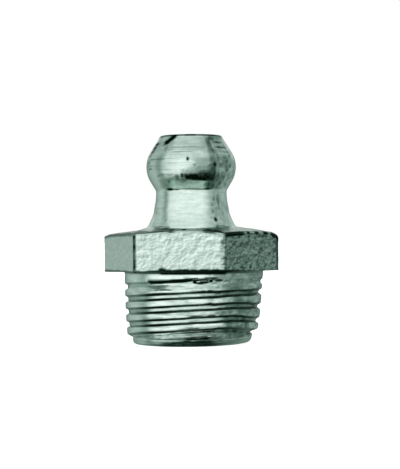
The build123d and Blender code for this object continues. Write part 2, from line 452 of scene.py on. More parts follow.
# --------------------------------------------------------------------------------------------------
# Hexagon
# --------------------------------------------------------------------------------------------------
def hex_r(th):
    """Outline of the hexagon, corners on +X and every 60 degrees, edges rounded."""
    th = np.asarray(th, float)
    v = 0.085 + 0.13 * bell(wrap180(th - 300.0), 12.0)          # one upright edge is worn rounder
    d = (th + 30.0) % 60.0 - 30.0                               # degrees from the nearest corner
    ad = np.radians(30.0 - np.abs(d))                           # from the nearest flat's middle
    flat = AF / 2 / np.cos(ad)
    dc = (AF / 2 - v) / math.cos(math.radians(30))
    dr = np.radians(np.abs(d))
    lim = np.arctan2(v * 0.5, dc + v * math.cos(math.radians(30)))
    arc = dc * np.cos(dr) + np.sqrt(np.maximum(v ** 2 - (dc * np.sin(dr)) ** 2, 0))
    return np.where(dr < lim, arc, flat)


def lifted(th):
    """The side of the hexagon's top that stands a little high."""
    return bell(wrap180(np.asarray(th, float) - 8.5), 32.0)


def cone_z(r, th):
    """Height of the hexagon's top over the radius."""
    r = np.asarray(r, float)
    base = HZ + np.interp(r, [4.20, 5.00, 5.55, 5.85, 6.351], [2.885, 2.785, 2.722, 2.672, 2.54])
    high = np.interp(r, [3.18, 3.60, 4.20, 5.00, 5.70, 6.351], [0.0, 0.095, 0.125, 0.105, 0.075, 0.10])
    rim = around([(-100, 0.0), (-90, 0.02), (-70, -0.05), (-58, 0.02), (-50, 0.09), (-41, 0.17), (-30, 0.09), (-22, 0.12), (-12, 0.15), (8, 0.16), (14, 0.17), (21, 0.15), (30, 0.08), (60, 0.06), (82, 0.10), (120, 0.05), (180, 0.03)], th, 3.0)
    return base + np.maximum(high * lifted(th), rim * smooth(4.6, 5.4, r))


def mottle(th, z, seed):
    """The hexagon's flats are drawn stock: small irregular dimples."""
    a = np.radians(th)
    x, y = AF / 2 * np.cos(a), AF / 2 * np.sin(a)
    n = 0.60 * noise3(x * 0.8, y * 0.8, z * 1.15, 0.26, seed) + 0.40 * noise3(x, y, z * 1.3, 0.15, seed + 1)
    return n + 0.35 * noise3(x, y, z, 0.55, seed + 2)


bld = Builder()

# ---- the end face with its staked ring, from the bore's mouth outwards
RIGHT = around([(-180, 0.35), (-90, 0.0), (-30, 0.0), (20, 0.25), (60, 0.85), (90, 1.0), (120, 0.85)], TH_C)
R_EDGE = 0.25 + 0.15 * RIGHT
RIGHT_B = np.interp(TH_B, TH_C, RIGHT)
end_rows = [(1.20, 0.0), (1.26, 0.0), (1.40, 0.0), (1.52, 0.0), (1.56, 0.012), (1.66, 0.125), (1.77, 0.255), (1.80, 0.275),
            (1.83, 0.262), (1.95, 0.160), (2.08, 0.055), (2.13, 0.012), (2.18, 0.0), (2.35, 0.0), (2.55, 0.0), (2.75, 0.0), (2.95, 0.0),
            (3.15, 0.0), (3.35, 0.0), (3.55, 0.0), (3.70, 0.0)]
first = None
prev, prev_th = None, None
for r, z in end_rows:
    th = TH_A if r < 1.5 else TH_B
    up = 0.0 if z > 0 or r == 1.20 else 0.004 * (1 + noise3(r * 9.0, 0.0, 0.0, 1.0, 31))
    tone = 0.93 + 0.06 * noise3(r * 11.0, np.cos(np.radians(th)), np.sin(np.radians(th)), 0.8, 32) - 0.25 * bell(r - 1.80, 0.12)
    ids = bld.ring(th, r, z + up, 0.060 * smooth(2.2, 3.6, r), tone)
    if first is None:
        first = ids
    elif len(ids) == len(prev):
        bld.strip(prev, ids)
    else:
        bld.bridge(prev, prev_th, ids, th)
    prev, prev_th = ids, th

# ---- rounding and pilot
# painted shade on the foot's rounding and the pilot, by side, black in front
FOOT_SHADE = around([(-180, 0.40), (-90, 0.20), (-50, 0.25), (-36, 0.56), (-27, 0.91), (17, 0.93), (26, 0.68), (40, 0.45), (90, 0.35)], TH_C, 3.0)
for i in range(6):
    a = math.radians(90 * i / 6)
    r = 4.27 - R_EDGE + R_EDGE * math.sin(a)
    z = 0.055 * RIGHT + R_EDGE * (1 - math.cos(a)) + (0.003 if i else 0.0)
    dark = FOOT_SHADE * float(smooth(-0.30, 0.15, i / 6)) * (1 + 0.06 * skin_noise(TH_C, 4.27, z, 0.25, 51))
    ids = bld.ring(TH_C, r, z, 0.060, 1 - np.clip(dark, 0, 0.985))
    if i == 0:
        bld.bridge(prev, prev_th, ids, TH_C)
    else:
        bld.strip(prev, ids)
    prev = ids
P0 = 0.055 * RIGHT + R_EDGE + 0.004
for t in (0.0, 0.33, 0.66, 1.0):
    z = P0 + (0.497 - P0) * t
    n = skin_noise(TH_C, 4.27, z, 0.22, 52, 1.5)
    k = int(t * 3 + 0.5)
    dark = np.clip(0.07 + FOOT_SHADE * (0.98, 0.86, 0.32, 0.24)[k] + (0, 0.25, 0.55, 0.35)[k] * window(side(TH_C), -11, 30, 4) + (0.04, 0.12, 0.14, 0.14)[k] * n, 0, 0.97)
    ids = bld.ring(TH_C, 4.27, z, 0.060, 1 - dark)
    bld.strip(prev, ids)
    prev = ids
zb = np.full(len(TH_C), Z_BOT)
rb, tb = thread_surface(TH_C, zb)
bot = bld.ring(TH_C, np.minimum(rb, 4.285), Z_BOT, shank_off(Z_BOT), tb)
bld.strip(prev, bot)
zt = np.full(len(TH_C), Z_TOP)
rt, tt = thread_surface(TH_C, zt)
top = bld.ring(TH_C, rt, Z_TOP, shank_off(Z_TOP), tt)
helix_zone(bld, TH_C, bot, Z_BOT, top, Z_TOP)
prev = top

# ---- collar, fillet, underside
PH = side(TH_C)
COLLAR = around(COLLAR_TABLE, TH_C, 2.5)


def collar_tone(z):
    # the collar's painted light and shade by side, blotched on the right, with two dark spots
    n = skin_noise(TH_C, 5.0, z, 0.30, 61, 1.4)
    m = skin_noise(TH_C, 5.0, z, 0.15, 62)
    d = spots([(-6.0, 4.82, 0.34, 0.06, 0, 0.45), (22.0, 4.95, 0.5, 0.10, 0, 0.3)], TH_C, z, 4.98)
    return COLLAR * (1 - d) * (1 - window(PH, 2, 110, 4) * (0.30 * n + 0.22 * m) + 0.05 * n)


FIL = 0.15
# painted shade in the corner under the hexagon, black in front
UNDER = window(PH, -28, 27, 2.0)                                # where the corner under the hexagon is black
for z in (4.87, 4.96, 5.02, HZ - FIL):
    ids = bld.ring(TH_C, 4.983, z, shank_off(z), collar_tone(z) * (1 - (0.3 + 0.7 * UNDER) * float(smooth(4.98, 5.06, z)) * 0.93), 0.85 * window(PH, 19, 74, 4))
    bld.strip(prev, ids)
    prev = ids
# painted shade in the fillet and on the hexagon's underside
UNDER_SHADE = 1 - (0.74 + 0.25 * UNDER) * np.clip(1.04 + 0.10 * skin_noise(TH_C, 5.0, 5.1, 0.3, 63), 0, 1)
for k in range(1, 6):
    a = math.radians(90 * k / 5)
    ids = bld.ring(TH_C, 4.983 + FIL * (1 - math.cos(a)), HZ - FIL + FIL * math.sin(a), 0.205, UNDER_SHADE)
    bld.strip(prev, ids)
    prev = ids
HR = hex_r(TH_C)
EB = 0.045
DIP = -0.060 * bell(wrap180(TH_C - 180.0), 24.0)                # the hexagon's underside droops at one corner
r0 = 4.983 + FIL
for t in (0.25, 0.6, 0.985):
    w = 1 - t
    ids = bld.ring(TH_C, r0 + (HR - EB - r0) * t, HZ + DIP * t * t, 0.205 * w ** 1.5, UNDER_SHADE * (1 - t) + (0.55 + 0.1 * skin_noise(TH_C, 5.6, t, 0.4, 64)) * t)
    bld.strip(prev, ids)
    prev = ids

# ---- hexagon sides
CORNER_D = wrap180((TH_C + 30.0) % 60.0 - 30.0)
worn = bell(wrap180(TH_C - 0.0), 5.0)                           # the corner at +X is worn round at its top
ET = 0.12 + 0.26 * worn + 0.02 * np.maximum(0, skin_noise(TH_C, 5.6, 7.9, 0.5, 5))
ztop = cone_z(HR, TH_C)
# how mottled each face is; the mottle carries painted dimple shading and darkens the face as it grows
FLAT = around([(-180, 0.8), (-158, 0.8), (-100, 0.8), (-96, 0.42), (-41, 0.42), (-37, 0.80), (20, 0.80), (23, 1.12), (80, 1.15), (84, 0.8), (140, 0.8)], TH_C, 0.8)
AMP = around([(-180, 0.006), (-100, 0.006), (-96, 0.002), (-41, 0.002), (-37, 0.0075), (20, 0.0075), (23, 0.0095), (80, 0.0095), (84, 0.006)], TH_C, 0.8)
# painted shade along the bottom edge of the faces: width in mm by side
LINE_W = around([(-180, 0.09), (-98, 0.13), (-41, 0.11), (-36, 0.11), (-26, 0.16), (-20, 0.22), (-16, 0.22), (20, 0.215), (24, 0.17), (50, 0.09), (60, 0.05), (84, 0.05), (120, 0.08)], TH_C, 1.5)
LINE_S = around([(-180, 0.6), (-98, 0.78), (-41, 0.80), (-36, 0.88), (-25, 0.95), (22, 0.985), (45, 0.85), (60, 0.7), (84, 0.7), (120, 0.6)], TH_C, 1.5)


def along(corner):
    """Millimetres along the flats from an upright edge, positive to the camera's right."""
    return np.radians(wrap180(TH_C - corner)) * 6.2


def upright_tone(z):
    """Darkness beside the upright edges: painted shade on and beside their roundings, with a row of dark spots along
    the edge at 300 degrees.
    """
    n = skin_noise(TH_C, 6.3, z, 0.35, 65)
    d = 0.92 * window(along(240.0), -0.055, 0.135, 0.04) * (1 + 0.15 * n)
    for c, s in ((180.0, 0.60), (120.0, 0.5), (60.0, 0.5)):
        d = np.maximum(d, s * window(along(c), -0.07, 0.07, 0.05) * (1 + 0.3 * n))
    d = np.maximum(d, 0.66 * window(along(360.0), -0.235, 0.10, 0.035) * (1 + 0.2 * n))
    u = along(300.0)
    rag = 0.06 * noise3(z, 0.0, 0.0, 0.22, 66)
    d = np.maximum(d, 0.30 * window(u + rag, -0.05, 0.20, 0.06))
    d = np.maximum(d, 0.28 * window(u + rag, -0.26, -0.10, 0.05))
    for zc, uc, a, b, s in ((7.20, -0.10, 0.15, 0.15, 0.85), (6.92, 0.00, 0.12, 0.12, 0.85), (6.15, -0.02, 0.12, 0.15, 0.85), (6.58, 0.02, 0.09, 0.12, 0.55), (5.78, -0.03, 0.11, 0.15, 0.75), (5.45, 0.02, 0.12, 0.12, 0.7), (7.50, -0.02, 0.10, 0.14, 0.6),
                            (6.10, 0.16, 0.10, 0.18, 0.5)):
        q = np.sqrt(((u - uc) / a) ** 2 + ((z - zc) / b) ** 2)
        d = np.maximum(d, s * (1 - smooth(0.6, 1.3, q)))
    return np.clip(d, 0, 0.97)


def face_tone(z, zs0):
    """Reflectance of a side row at height z (an array over the columns), with painted shade along the edges and a few
    dark spots.
    """
    up = upright_tone(z)
    low = LINE_S * (1 - smooth(LINE_W * 0.75, LINE_W * 1.25, z - HZ + 0.03 * skin_noise(TH_C, 6.0, 0.0, 0.28, 67)))
    bump = spots([(-20.5, 5.395, 0.34, 0.13, 0, 0.97), (76.0, 7.64, 0.26, 0.13, -20, 0.90), (66.5, 7.66, 0.40, 0.06, 0, 0.93)], TH_C, z, 6.1)
    d = np.maximum(np.maximum(up, low), bump)
    return (1 - d)


# the faces' rounded bottom edge, in the painted shade
for k in range(0, 4):
    a = math.radians(90 * k / 3)
    z = HZ + DIP + EB - EB * math.cos(a)
    ids = bld.ring(TH_C, HR - EB + EB * math.sin(a), z, 0.0, (1 - LINE_S) * (1 - upright_tone(z)), 0.3)
    bld.strip(prev, ids)
    prev = ids
zs0, zs1 = HZ + DIP + EB, ztop - ET
low_offs = (0.03, 0.065, 0.10, 0.14, 0.19, 0.25)
top_offs = (0.20, 0.13, 0.07, 0.025)
rows = [zs0 + o for o in low_offs]
za, zb_ = rows[-1], zs1 - top_offs[0]
M = 16
rows += [za + (zb_ - za) * k / M for k in range(1, M)]
rows += [zs1 - o for o in top_offs]
# painted shade along the top edge of the faces
RIM_S = around([(-180, 0.5), (-98, 0.72), (-60, 0.78), (-41, 0.78), (-36, 0.88), (-22, 0.93), (-17.5, 0.92), (-12, 0.92), (-10.5, 0.55), (6.5, 0.55), (8.5, 0.92), (16, 0.94), (20, 0.90), (23, 0.97), (40, 0.95), (43, 0.5),
                (84, 0.55), (120, 0.5)], TH_C, 1.2)
TOP_S = around([(-180, 0.5), (-98, 0.74), (-60, 0.78), (-43, 0.74), (-39, 0.30), (-22, 0.20), (-17, 0.30), (-16, 0.84), (-12.5, 0.84), (-11.5, 0.22), (8, 0.20), (9.3, 0.84), (15.8, 0.84), (17, 0.30), (20, 0.25), (22.5, 0.97), (40, 0.95), (43, 0.5), (84, 0.55), (120, 0.5)], TH_C, 0.9)
# on the right face the painted shade breaks into dashes
dash = np.zeros(len(TH_C))
for p0, p1 in ((44.6, 48.6), (54.2, 59.6), (64.6, 70.6), (73.0, 84.0)):
    dash = np.maximum(dash, window(PH, p0, p1, 0.8))
TOP_S = np.where((PH > 43) & (PH < 86), 0.20 + 0.76 * dash, TOP_S)
RIM_S = np.where((PH > 43) & (PH < 86), 0.20 + 0.76 * dash, RIM_S)
TOP_W = (0.155 - 0.002 * (PH - 22.0)) * window(PH, 22.0, 43.0, 0.8) + 0.055 * window(PH, 44.0, 84.0, 1.0) + 0.045 * window(PH, -98, -37, 1.0)      # the dark line is widest here
# painted shade over the right face, turned from the light, and a little painted light on the left faces
RIGHT_DIM = 1 - 0.26 * window(PH, 21.8, 81.3, 0.6) + 0.075 * window(PH, -98, -39.5, 0.6)
for z in rows:
    edge = np.minimum(1, np.minimum(z - zs0, zs1 - z) / 0.12)
    m = AMP * mottle(TH_C, z, 11) * np.clip(edge, 0, 1)
    top_line = TOP_S * (1 - smooth(0.02 + TOP_W, 0.07 + TOP_W, zs1 - z))
    # painted shade under the top edge of the left faces
    left = 0.74 * window(PH, -98, -40, 1.0) * (1 - smooth(0.08, 0.16, zs1 - z))
    t = face_tone(z, zs0) * (1 - np.maximum(top_line, left)) * RIGHT_DIM
    ids = bld.ring(TH_C, HR - 0.009 + m, z, 0.0, t, FLAT)
    bld.strip(prev, ids)
    prev = ids
slope = math.atan2(0.145, 1.46)
# the top edge's rounding, in the painted shade
for k in range(0, 5):
    a = (math.pi / 2 - slope) * k / 4
    t = (1 - RIM_S) * (1 - 0.6 * upright_tone(ztop))
    if k < 2:
        t = (1 - TOP_S) * (1 - 0.6 * upright_tone(ztop))
    ids = bld.ring(TH_C, HR - ET + ET * np.cos(a), ztop - ET + ET * np.sin(a), 0.0, t, 0.3)
    bld.strip(prev, ids)
    prev = ids
re = HR - ET + ET * math.cos(math.pi / 2 - slope)
# the hexagon's top: dull, with the cutter's rings, darker towards the rim on the left; painted shade towards the rim,
# in two stripes either side of the front and in specks over the front, and painted light further in at the front
for t in (0.05, 0.16, 0.32, 0.48, 0.64, 0.80, 0.94):
    r = re + (4.24 - re) * t
    z = cone_z(r, TH_C)
    blend = (1 - t) ** 4
    z = z * (1 - blend) + (ztop - ET + ET * math.sin(math.pi / 2 - slope)) * blend
    rim = RIM_S * (1 - float(smooth(0.05, 0.30, t)))
    rim = np.where((PH > -100) & (PH < -41), 0.10, rim)
    rim = np.where((window(PH, -42, -11, 1.5) > 0.5) | (window(PH, 8, 22, 1.5) > 0.5), RIM_S * (1 - float(smooth(0.35, 0.75, t))), rim)
    side_dark = 0.88 * (window(PH, -27, -17, 2) + window(PH, 11, 24, 2)) * float(smooth(0.15, 0.35, t) * (1 - smooth(0.52, 0.68, t)))
    speck = noise3(r * 1.6, 5.0 * np.cos(np.radians(TH_C)), 5.0 * np.sin(np.radians(TH_C)), 0.26, 34)
    front = (0.58 + 0.30 * speck) * window(PH, -30, 22, 3) * float(smooth(0.0, 0.05, t) * (1 - smooth(0.52, 0.68, t)))
    tone = (1 + 0.25 * window(PH, -32, 26, 3) * float(smooth(0.55, 0.75, t))) * (1 - np.clip(front, 0, 0.85)) * (1 - np.maximum(rim, side_dark)) * (0.74 + 0.08 * noise3(r * 6.0, np.cos(np.radians(TH_C)), np.sin(np.radians(TH_C)), 1.0, 33))
    ids = bld.ring(TH_C, r, z, 0.077 * float(smooth(0.3, 1.0, t)), tone)
    bld.strip(prev, ids)
    prev = ids


# ---- neck and head
def arc_pts(cx, cz, rad, a0, a1, step):
    n = max(2, int(math.ceil(abs(math.radians(a1 - a0)) * rad / step)))
    return [(cx + rad * math.cos(math.radians(a0 + (a1 - a0) * k / n)), cz + rad * math.sin(math.radians(a0 + (a1 - a0) * k / n)))
            for k in range(n + 1)]


def line_pts(p, q, step):
    n = max(1, int(math.ceil(math.hypot(q[0] - p[0], q[1] - p[1]) / step)))
    return [(p[0] + (q[0] - p[0]) * k / n, p[1] + (q[1] - p[1]) * k / n) for k in range(n + 1)]


def circle3(p, q, s):
    ax, ay, bx, by, cx, cy = *p, *q, *s
    d = 2 * (ax * (by - cy) + bx * (cy - ay) + cx * (ay - by))
    ux = ((ax * ax + ay * ay) * (by - cy) + (bx * bx + by * by) * (cy - ay) + (cx * cx + cy * cy) * (ay - by)) / d
    uy = ((ax * ax + ay * ay) * (cx - bx) + (bx * bx + by * by) * (ax - cx) + (cx * cx + cy * cy) * (bx - ax)) / d
    return ux, uy, math.hypot(ax - ux, ay - uy)


NECK_WIDE = 0.012          # the neck is a little stouter, the head a little slimmer, than their nominal sizes
HEAD_SLIM = 0.026


def neck_profile():
    pts = []
    p0, p1, p2 = (4.24, HZ + 2.880), (3.56, HZ + 3.010), (3.205, HZ + 3.145)
    ux, uy, rad = circle3(p0, p1, p2)
    a0 = math.degrees(math.atan2(p0[1] - uy, p0[0] - ux))
    a2 = math.degrees(math.atan2(p2[1] - uy, p2[0] - ux))
    if a2 - a0 > 180:
        a2 -= 360
    if a0 - a2 > 180:
        a2 += 360
    pts += arc_pts(ux, uy, rad, a0, a2, 0.085)
    pts = pts[:-1] + [(3.262, HZ + 3.120), (3.228, HZ + 3.134), (3.198, HZ + 3.149), (3.175, HZ + 3.175)]
    cx, cz, rad = 2.525 + NECK_WIDE + 4.90, HZ + 5.66, 4.90
    a0 = 180 + math.degrees(math.asin((5.66 - 3.215) / 4.90))
    for r, z in arc_pts(cx, cz, rad, a0, 180.0, 0.105):
        pts.append((r - 0.052 * float(1 - smooth(HZ + 4.15, HZ + 4.55, z)), z))
    return pts


def head_profile():
    cx, cz, R = 1.195 - HEAD_SLIM, HZ + 7.45, 2.05
    lo, hi = math.radians(31), math.radians(32.4)
    pl = (cx + R * math.cos(lo), cz - R * math.sin(lo))
    ph = (cx + R * math.cos(hi), cz + R * math.sin(hi))
    foot = (2.525 + NECK_WIDE, pl[1] - (pl[0] - 2.525 - NECK_WIDE) / math.tan(lo))
    rim = (2.335 - HEAD_SLIM, ph[1] + (ph[0] - 2.335 + HEAD_SLIM) / math.tan(hi))
    pts = line_pts(foot, pl, 0.058)
    pts += arc_pts(cx, cz, R, -31, 32.4, 0.047)[1:]
    pts += line_pts(ph, rim, 0.050)[1:]
    q = HEAD_SLIM
    pts += [(2.318 - q, rim[1] + 0.055), (2.290 - q, rim[1] + 0.110), (2.252 - q, rim[1] + 0.160), (2.205 - q, TOTAL - 0.018), (2.150 - q, TOTAL - 0.004)]
    return pts


def soften(pts, at, rad):
    """Round the corner that lies nearest to a point of the profile."""
    i = min(range(len(pts)), key=lambda k: math.hypot(pts[k][0] - at[0], pts[k][1] - at[1]))
    p = pts[i]
    a, b = i, i
    while a > 0 and math.hypot(pts[a][0] - p[0], pts[a][1] - p[1]) < rad:
        a -= 1
    while b < len(pts) - 1 and math.hypot(pts[b][0] - p[0], pts[b][1] - p[1]) < rad:
        b += 1
    A, B = pts[a], pts[b]
    out = []
    for k in range(1, 5):
        t = k / 5.0
        out.append(((1 - t) ** 2 * A[0] + 2 * t * (1 - t) * p[0] + t * t * B[0], (1 - t) ** 2 * A[1] + 2 * t * (1 - t) * p[1] + t * t * B[1]))
    return pts[:a + 1] + out + pts[b:]


prof = neck_profile() + head_profile()[1:]
prof = soften(prof, (2.537, HZ + 5.67), 0.06)

# tool marks on the head, as lines round the axis: height, half width, from side, to side, softness, strength
HEAD_LINES = [(13.950, 0.055, -30, 22, 5, 0.46), (13.610, 0.042, -27, 2, 4, 0.46), (13.130, 0.050, -72, -36, 4, 0.62), (13.150, 0.035, -36, -14, 4, 0.26),
              (12.360, 0.035, -46, -26, 4, 0.24), (12.030, 0.050, -48, -20, 4, 0.50), (12.66, 0.030, -74, -58, 3, 0.50),
              (14.16, 0.030, -24, 12, 5, 0.22), (13.78, 0.03, -30, 15, 5, 0.18), (13.42, 0.03, -30, 15, 5, 0.22), (12.83, 0.03, -34, 0, 5, 0.24),
              (14.30, 0.03, 130, 200, 12, 0.3), (13.70, 0.03, 100, 190, 12, 0.35), (12.90, 0.03, 120, 220, 12, 0.3)]
# dark marks on the head and neck, mostly painted shade and painted reflection, two of them over real pits: side,
# height, half length, half width, turn, strength
HEAD_SPOTS = [(-36.8, 14.536, 0.62, 0.205, 38, 1.0), (-42.0, 14.345, 0.29, 0.205, 0, 1.0), (-66.8, 14.782, 0.27, 0.070, 0, 0.7),
              (-69.5, 14.238, 0.40, 0.160, 0, 0.95), (-69.5, 13.971, 0.38, 0.180, 0, 0.95), (-69.0, 13.700, 0.36, 0.180, 0, 0.92), (-71.0, 13.40, 0.30, 0.15, 0, 0.7), (-38.7, 13.879, 0.16, 0.254, 0, 0.35),
              (-65.2, 12.460, 0.37, 0.071, 0, 0.6), (-69.7, 12.921, 0.29, 0.178, 0, 0.4), (-4.4, 13.110, 0.115, 0.150, 0, 0.97),
              (-40.3, 12.033, 0.19, 0.084, 0, 0.45), (-29.5, 11.959, 0.20, 0.077, 0, 0.40), (-20.3, 11.892, 0.17, 0.112, 0, 0.55), (-32.9, 11.527, 0.11, 0.120, 0, 0.6),
              (-48.3, 11.950, 0.21, 0.085, 0, 0.3),
              # painted shade beside the painted dark reflection under the head's belt
              (-18.4, 11.85, 0.085, 0.21, 0, 0.66), (-12.0, 11.95, 0.13, 0.17, 0, 0.92), (-11.4, 11.72, 0.08, 0.10, 0, 0.55), (-8.7, 11.90, 0.05, 0.22, 0, 0.30), (31.2, 12.700, 0.15, 0.19, 0, 0.93), (27.5, 12.33, 0.15, 0.26, 0, 0.50),
              (23.5, 12.62, 0.26, 0.07, 30, 0.55), (4.5, 12.655, 0.09, 0.10, 0, 0.45),
              # painted shade in the corner between head and neck
              (-35.5, 10.995, 0.34, 0.105, 0, 0.99), (-24.5, 10.985, 0.34, 0.055, 0, 0.95), (1.0, 10.992, 0.98, 0.050, 0, 0.60), (26.2, 11.010, 0.32, 0.085, 0, 0.95), (-13.7, 11.313, 0.43, 0.063, 0, 0.25),
              (23.6, 11.317, 0.25, 0.183, 0, 0.55), (34.0, 11.170, 0.15, 0.226, 0, 0.60), (38.0, 11.864, 0.12, 0.317, 0, 0.45), (45.1, 11.406, 0.18, 0.156, 0, 0.5),
              (50.0, 11.773, 0.13, 0.212, 0, 0.4),
              # painted shade on the side turned from the light
              (36.9, 14.584, 0.32, 0.163, 0, 0.62), (49.4, 14.334, 0.55, 0.067, 0, 0.80), (51.3, 13.951, 0.75, 0.071, 0, 0.78), (56.6, 13.628, 0.45, 0.057, 0, 0.5),
              (33.5, 13.694, 0.25, 0.281, 0, 0.32), (29.4, 14.127, 0.16, 0.247, 0, 0.30), (48.7, 13.208, 0.15, 0.106, 0, 0.55), (61.4, 13.350, 0.15, 0.142, 0, 0.5),
              (52.2, 12.958, 0.21, 0.099, 0, 0.45), (58.4, 12.630, 0.16, 0.156, 0, 0.45), (39.9, 12.669, 0.14, 0.176, 0, 0.4), (52.6, 12.301, 0.16, 0.141, 0, 0.4),
              (44.3, 12.149, 0.14, 0.113, 0, 0.4),
              # neck: painted shade, mostly on its right side, and a pit
              (37.5, 10.292, 0.11, 0.155, 0, 0.55), (33.6, 9.851, 0.13, 0.099, 0, 0.40), (33.7, 9.427, 0.12, 0.169, 0, 0.50), (29.3, 8.974, 0.13, 0.098, 0, 0.3),
              (36.2, 8.860, 0.175, 0.150, 0, 0.97), (34.9, 8.421, 0.19, 0.091, 0, 0.35), (46.4, 10.225, 0.12, 0.460, 2, 0.45), (40.9, 9.583, 0.09, 0.212, 0, 0.3),
              (53.3, 9.303, 0.12, 0.284, 0, 0.2), (-38.0, 8.821, 0.13, 0.070, 0, 0.4), (-67.4, 9.282, 0.19, 0.285, 0, 0.25)]
# painted highlights and glints on the head and neck: side, height, half length, half width, turn, strength
PAINTED_HIGHLIGHTS = [(-54.5, 14.562, 0.34, 0.150, 20, 1.0), (-70.5, 14.445, 0.26, 0.086, 0, 0.6), (1.7, 12.888, 0.24, 0.070, -20, 0.8), (-1.4, 12.756, 0.21, 0.070, 0, 0.6),
               (46.4, 14.153, 0.49, 0.060, 0, 1.0), (48.1, 13.755, 0.67, 0.064, 0, 1.0), (47.0, 13.492, 0.41, 0.056, 0, 0.7), (41.9, 13.325, 0.19, 0.092, 0, 0.8),
               (-33.5, 12.988, 0.59, 0.056, 0, 0.4), (-20.7, 12.426, 1.05, 0.084, 0, 0.25), (-30.9, 12.212, 0.82, 0.042, 0, 0.7), (-16.2, 12.27, 0.14, 0.10, 0, 0.9),
               (-23.0, 11.98, 0.055, 0.27, 0, 0.7), (37.6, 9.867, 0.08, 0.494, 2, 0.5), (38.3, 12.491, 0.09, 0.281, 0, 0.5), (34.2, 12.173, 0.085, 0.246, 0, 0.4),
               (57.5, 12.345, 0.10, 0.213, 0, 0.5), (53.8, 14.423, 0.19, 0.107, 0, 0.5), (44.4, 14.552, 0.12, 0.071, 0, 0.7)]
# painted light and shade round the head's belt, by side: lighter just left of the front, darker just right of it
BELT = [(-90, 0.86), (-60, 0.86), (-46, 0.74), (-38, 0.76), (-28, 0.84), (-18, 0.98), (-8, 1.05), (0, 0.74), (6, 0.52), (22, 0.49), (30, 0.74), (60, 0.86), (180, 0.86)]


def patch(th, r, z):
    """Painted dark reflection: the black patch under the head's belt and the grey smudge above it."""
    p = side(th)
    ca, sa = np.cos(np.radians(th)), np.sin(np.radians(th))
    n = noise3(ca * r, sa * r, z * 0.3, 0.11, 76)
    m = noise3(ca * r, sa * r, z * 1.6, 0.20, 77)
    w = noise3(ca * r * 1.2, sa * r * 1.2, z * 1.2, 0.30, 78)
    bot = np.interp(p, [-15, -9.3, -8.3, 0, 8, 14, 20, 24, 30], [12.16, 12.12, 11.66, 11.64, 11.62, 11.59, 11.55, 11.56, 11.60]) + 0.045 * n + 0.02 * w
    full = np.interp(p, [-8, 4, 8, 11, 20, 24, 28], [11.98, 12.01, 11.99, 11.88, 11.86, 11.92, 12.00]) + 0.05 * n + 0.03 * w
    soft = np.interp(p, [-14, -8, -4, 4, 9, 20, 28], [12.42, 12.46, 12.50, 12.56, 12.62, 12.66, 12.80])
    wide = smooth(-9.8, -6.0, p + 1.8 * n) * (1 - smooth(27.5, 30.5, p))
    low = smooth(bot - 0.035, bot + 0.035, z)
    core = (0.988 - 0.13 * window(p, 21.5, 32, 2)) * (1 - smooth(full - 0.03, full + 0.05, z)) * wide
    t = np.clip((z - full) / np.maximum(soft - full, 0.02), 0, 1)
    right = smooth(5.0, 13.0, p)
    haze = (0.46 + 0.34 * right + 0.15 * n + 0.20 * m + 0.10 * w) * (1 - t) ** 0.40 * window(p, -13.0, 34.0, 3.0) * (1 - 0.75 * bell(z - 12.13, 0.04) * (1 - right))
    return np.clip(low * np.maximum(core, haze), 0, 0.988)


def head_tone(th, r, z):
    p = side(th)
    d = np.maximum(np.maximum(bands(HEAD_LINES, th, z), spots(HEAD_SPOTS, th, z, r)), patch(th, r, z) if 11.3 < z < 12.9 else 0.0)
    light = spots(PAINTED_HIGHLIGHTS, th, z, r)
    on_head = float(smooth(10.97, 11.10, z))
    ca, sa = np.cos(np.radians(th)), np.sin(np.radians(th))
    # painted shade in streaks along the axis, on the side turned from the light
    n = noise3(ca * r, sa * r, z * 0.45, 0.17, 72)
    m = noise3(ca * r, sa * r, z * 0.9, 0.30, 73)
    q = window(p, 32, 74, 3)
    streak = q * np.clip((0.09 if on_head > 0.5 else -0.02) + (0.36 * n + 0.32 * m) * (0.50 + 0.50 * on_head), -0.22, 0.8)
    # painted shade in a column at the edge of the light, painted light and shade on the left, painted light on the
    # lower cone in front, the belt's painted light and shade, and darker towards the top
    col = on_head * window(p, 24.0, 33.0, 2.2) * float(1 - smooth(14.5, 14.8, z)) * np.clip(0.53 + 0.14 * n + 0.14 * m, 0.3, 0.9)
    left = (-0.10 + 0.20 * float(smooth(13.7, 14.2, z))) * on_head * (1 - smooth(-56, -46, p)) * (p > -130)
    light_side = (1 - on_head) * (0.08 * (1 - smooth(-50, -46, p)) * (p > -130) - 0.10 * window(p, -46, -38.5, 1.5) + 0.07 * window(p, 52, 90, 3))
    low_cone = 0.44 * window(p, -33, 24, 3) * float(smooth(10.99, 11.04, z) * (1 - smooth(11.52, 11.64, z)))
    equator = float(smooth(12.35, 12.55, z) * (1 - smooth(13.10, 13.30, z)))
    belt = 1 + (around(BELT, th, 3.0) / 0.86 - 1) * (0.25 + 0.75 * equator) * on_head * float(1 - smooth(13.3, 13.9, z))
    fine = 0.05 * noise3(z * 1.0, ca * 0.7, sa * 0.7, 0.13, 74)
    base = 0.955 - 0.095 * on_head - 0.05 * float(smooth(14.0, 14.3, z))
    t = base * belt * (1 - d) * (1 - streak) * (1 - col) * (1 - left + light_side + low_cone) * (1 + fine)
    # painted highlights
    t = t + 0.62 * light * (1 - 0.5 * d) * (1.05 - np.clip(t, 0, 1))
    # painted shade on the rim's edge, darkest in front
    if z > 14.775:
        t = t * (0.30 - 0.28 * window(p, -11, 9, 2) - 0.16 * window(p, -42, -24, 3) - 0.12 * window(p, 20, 50, 5))
    return np.clip(t, 0.015, 1.15)


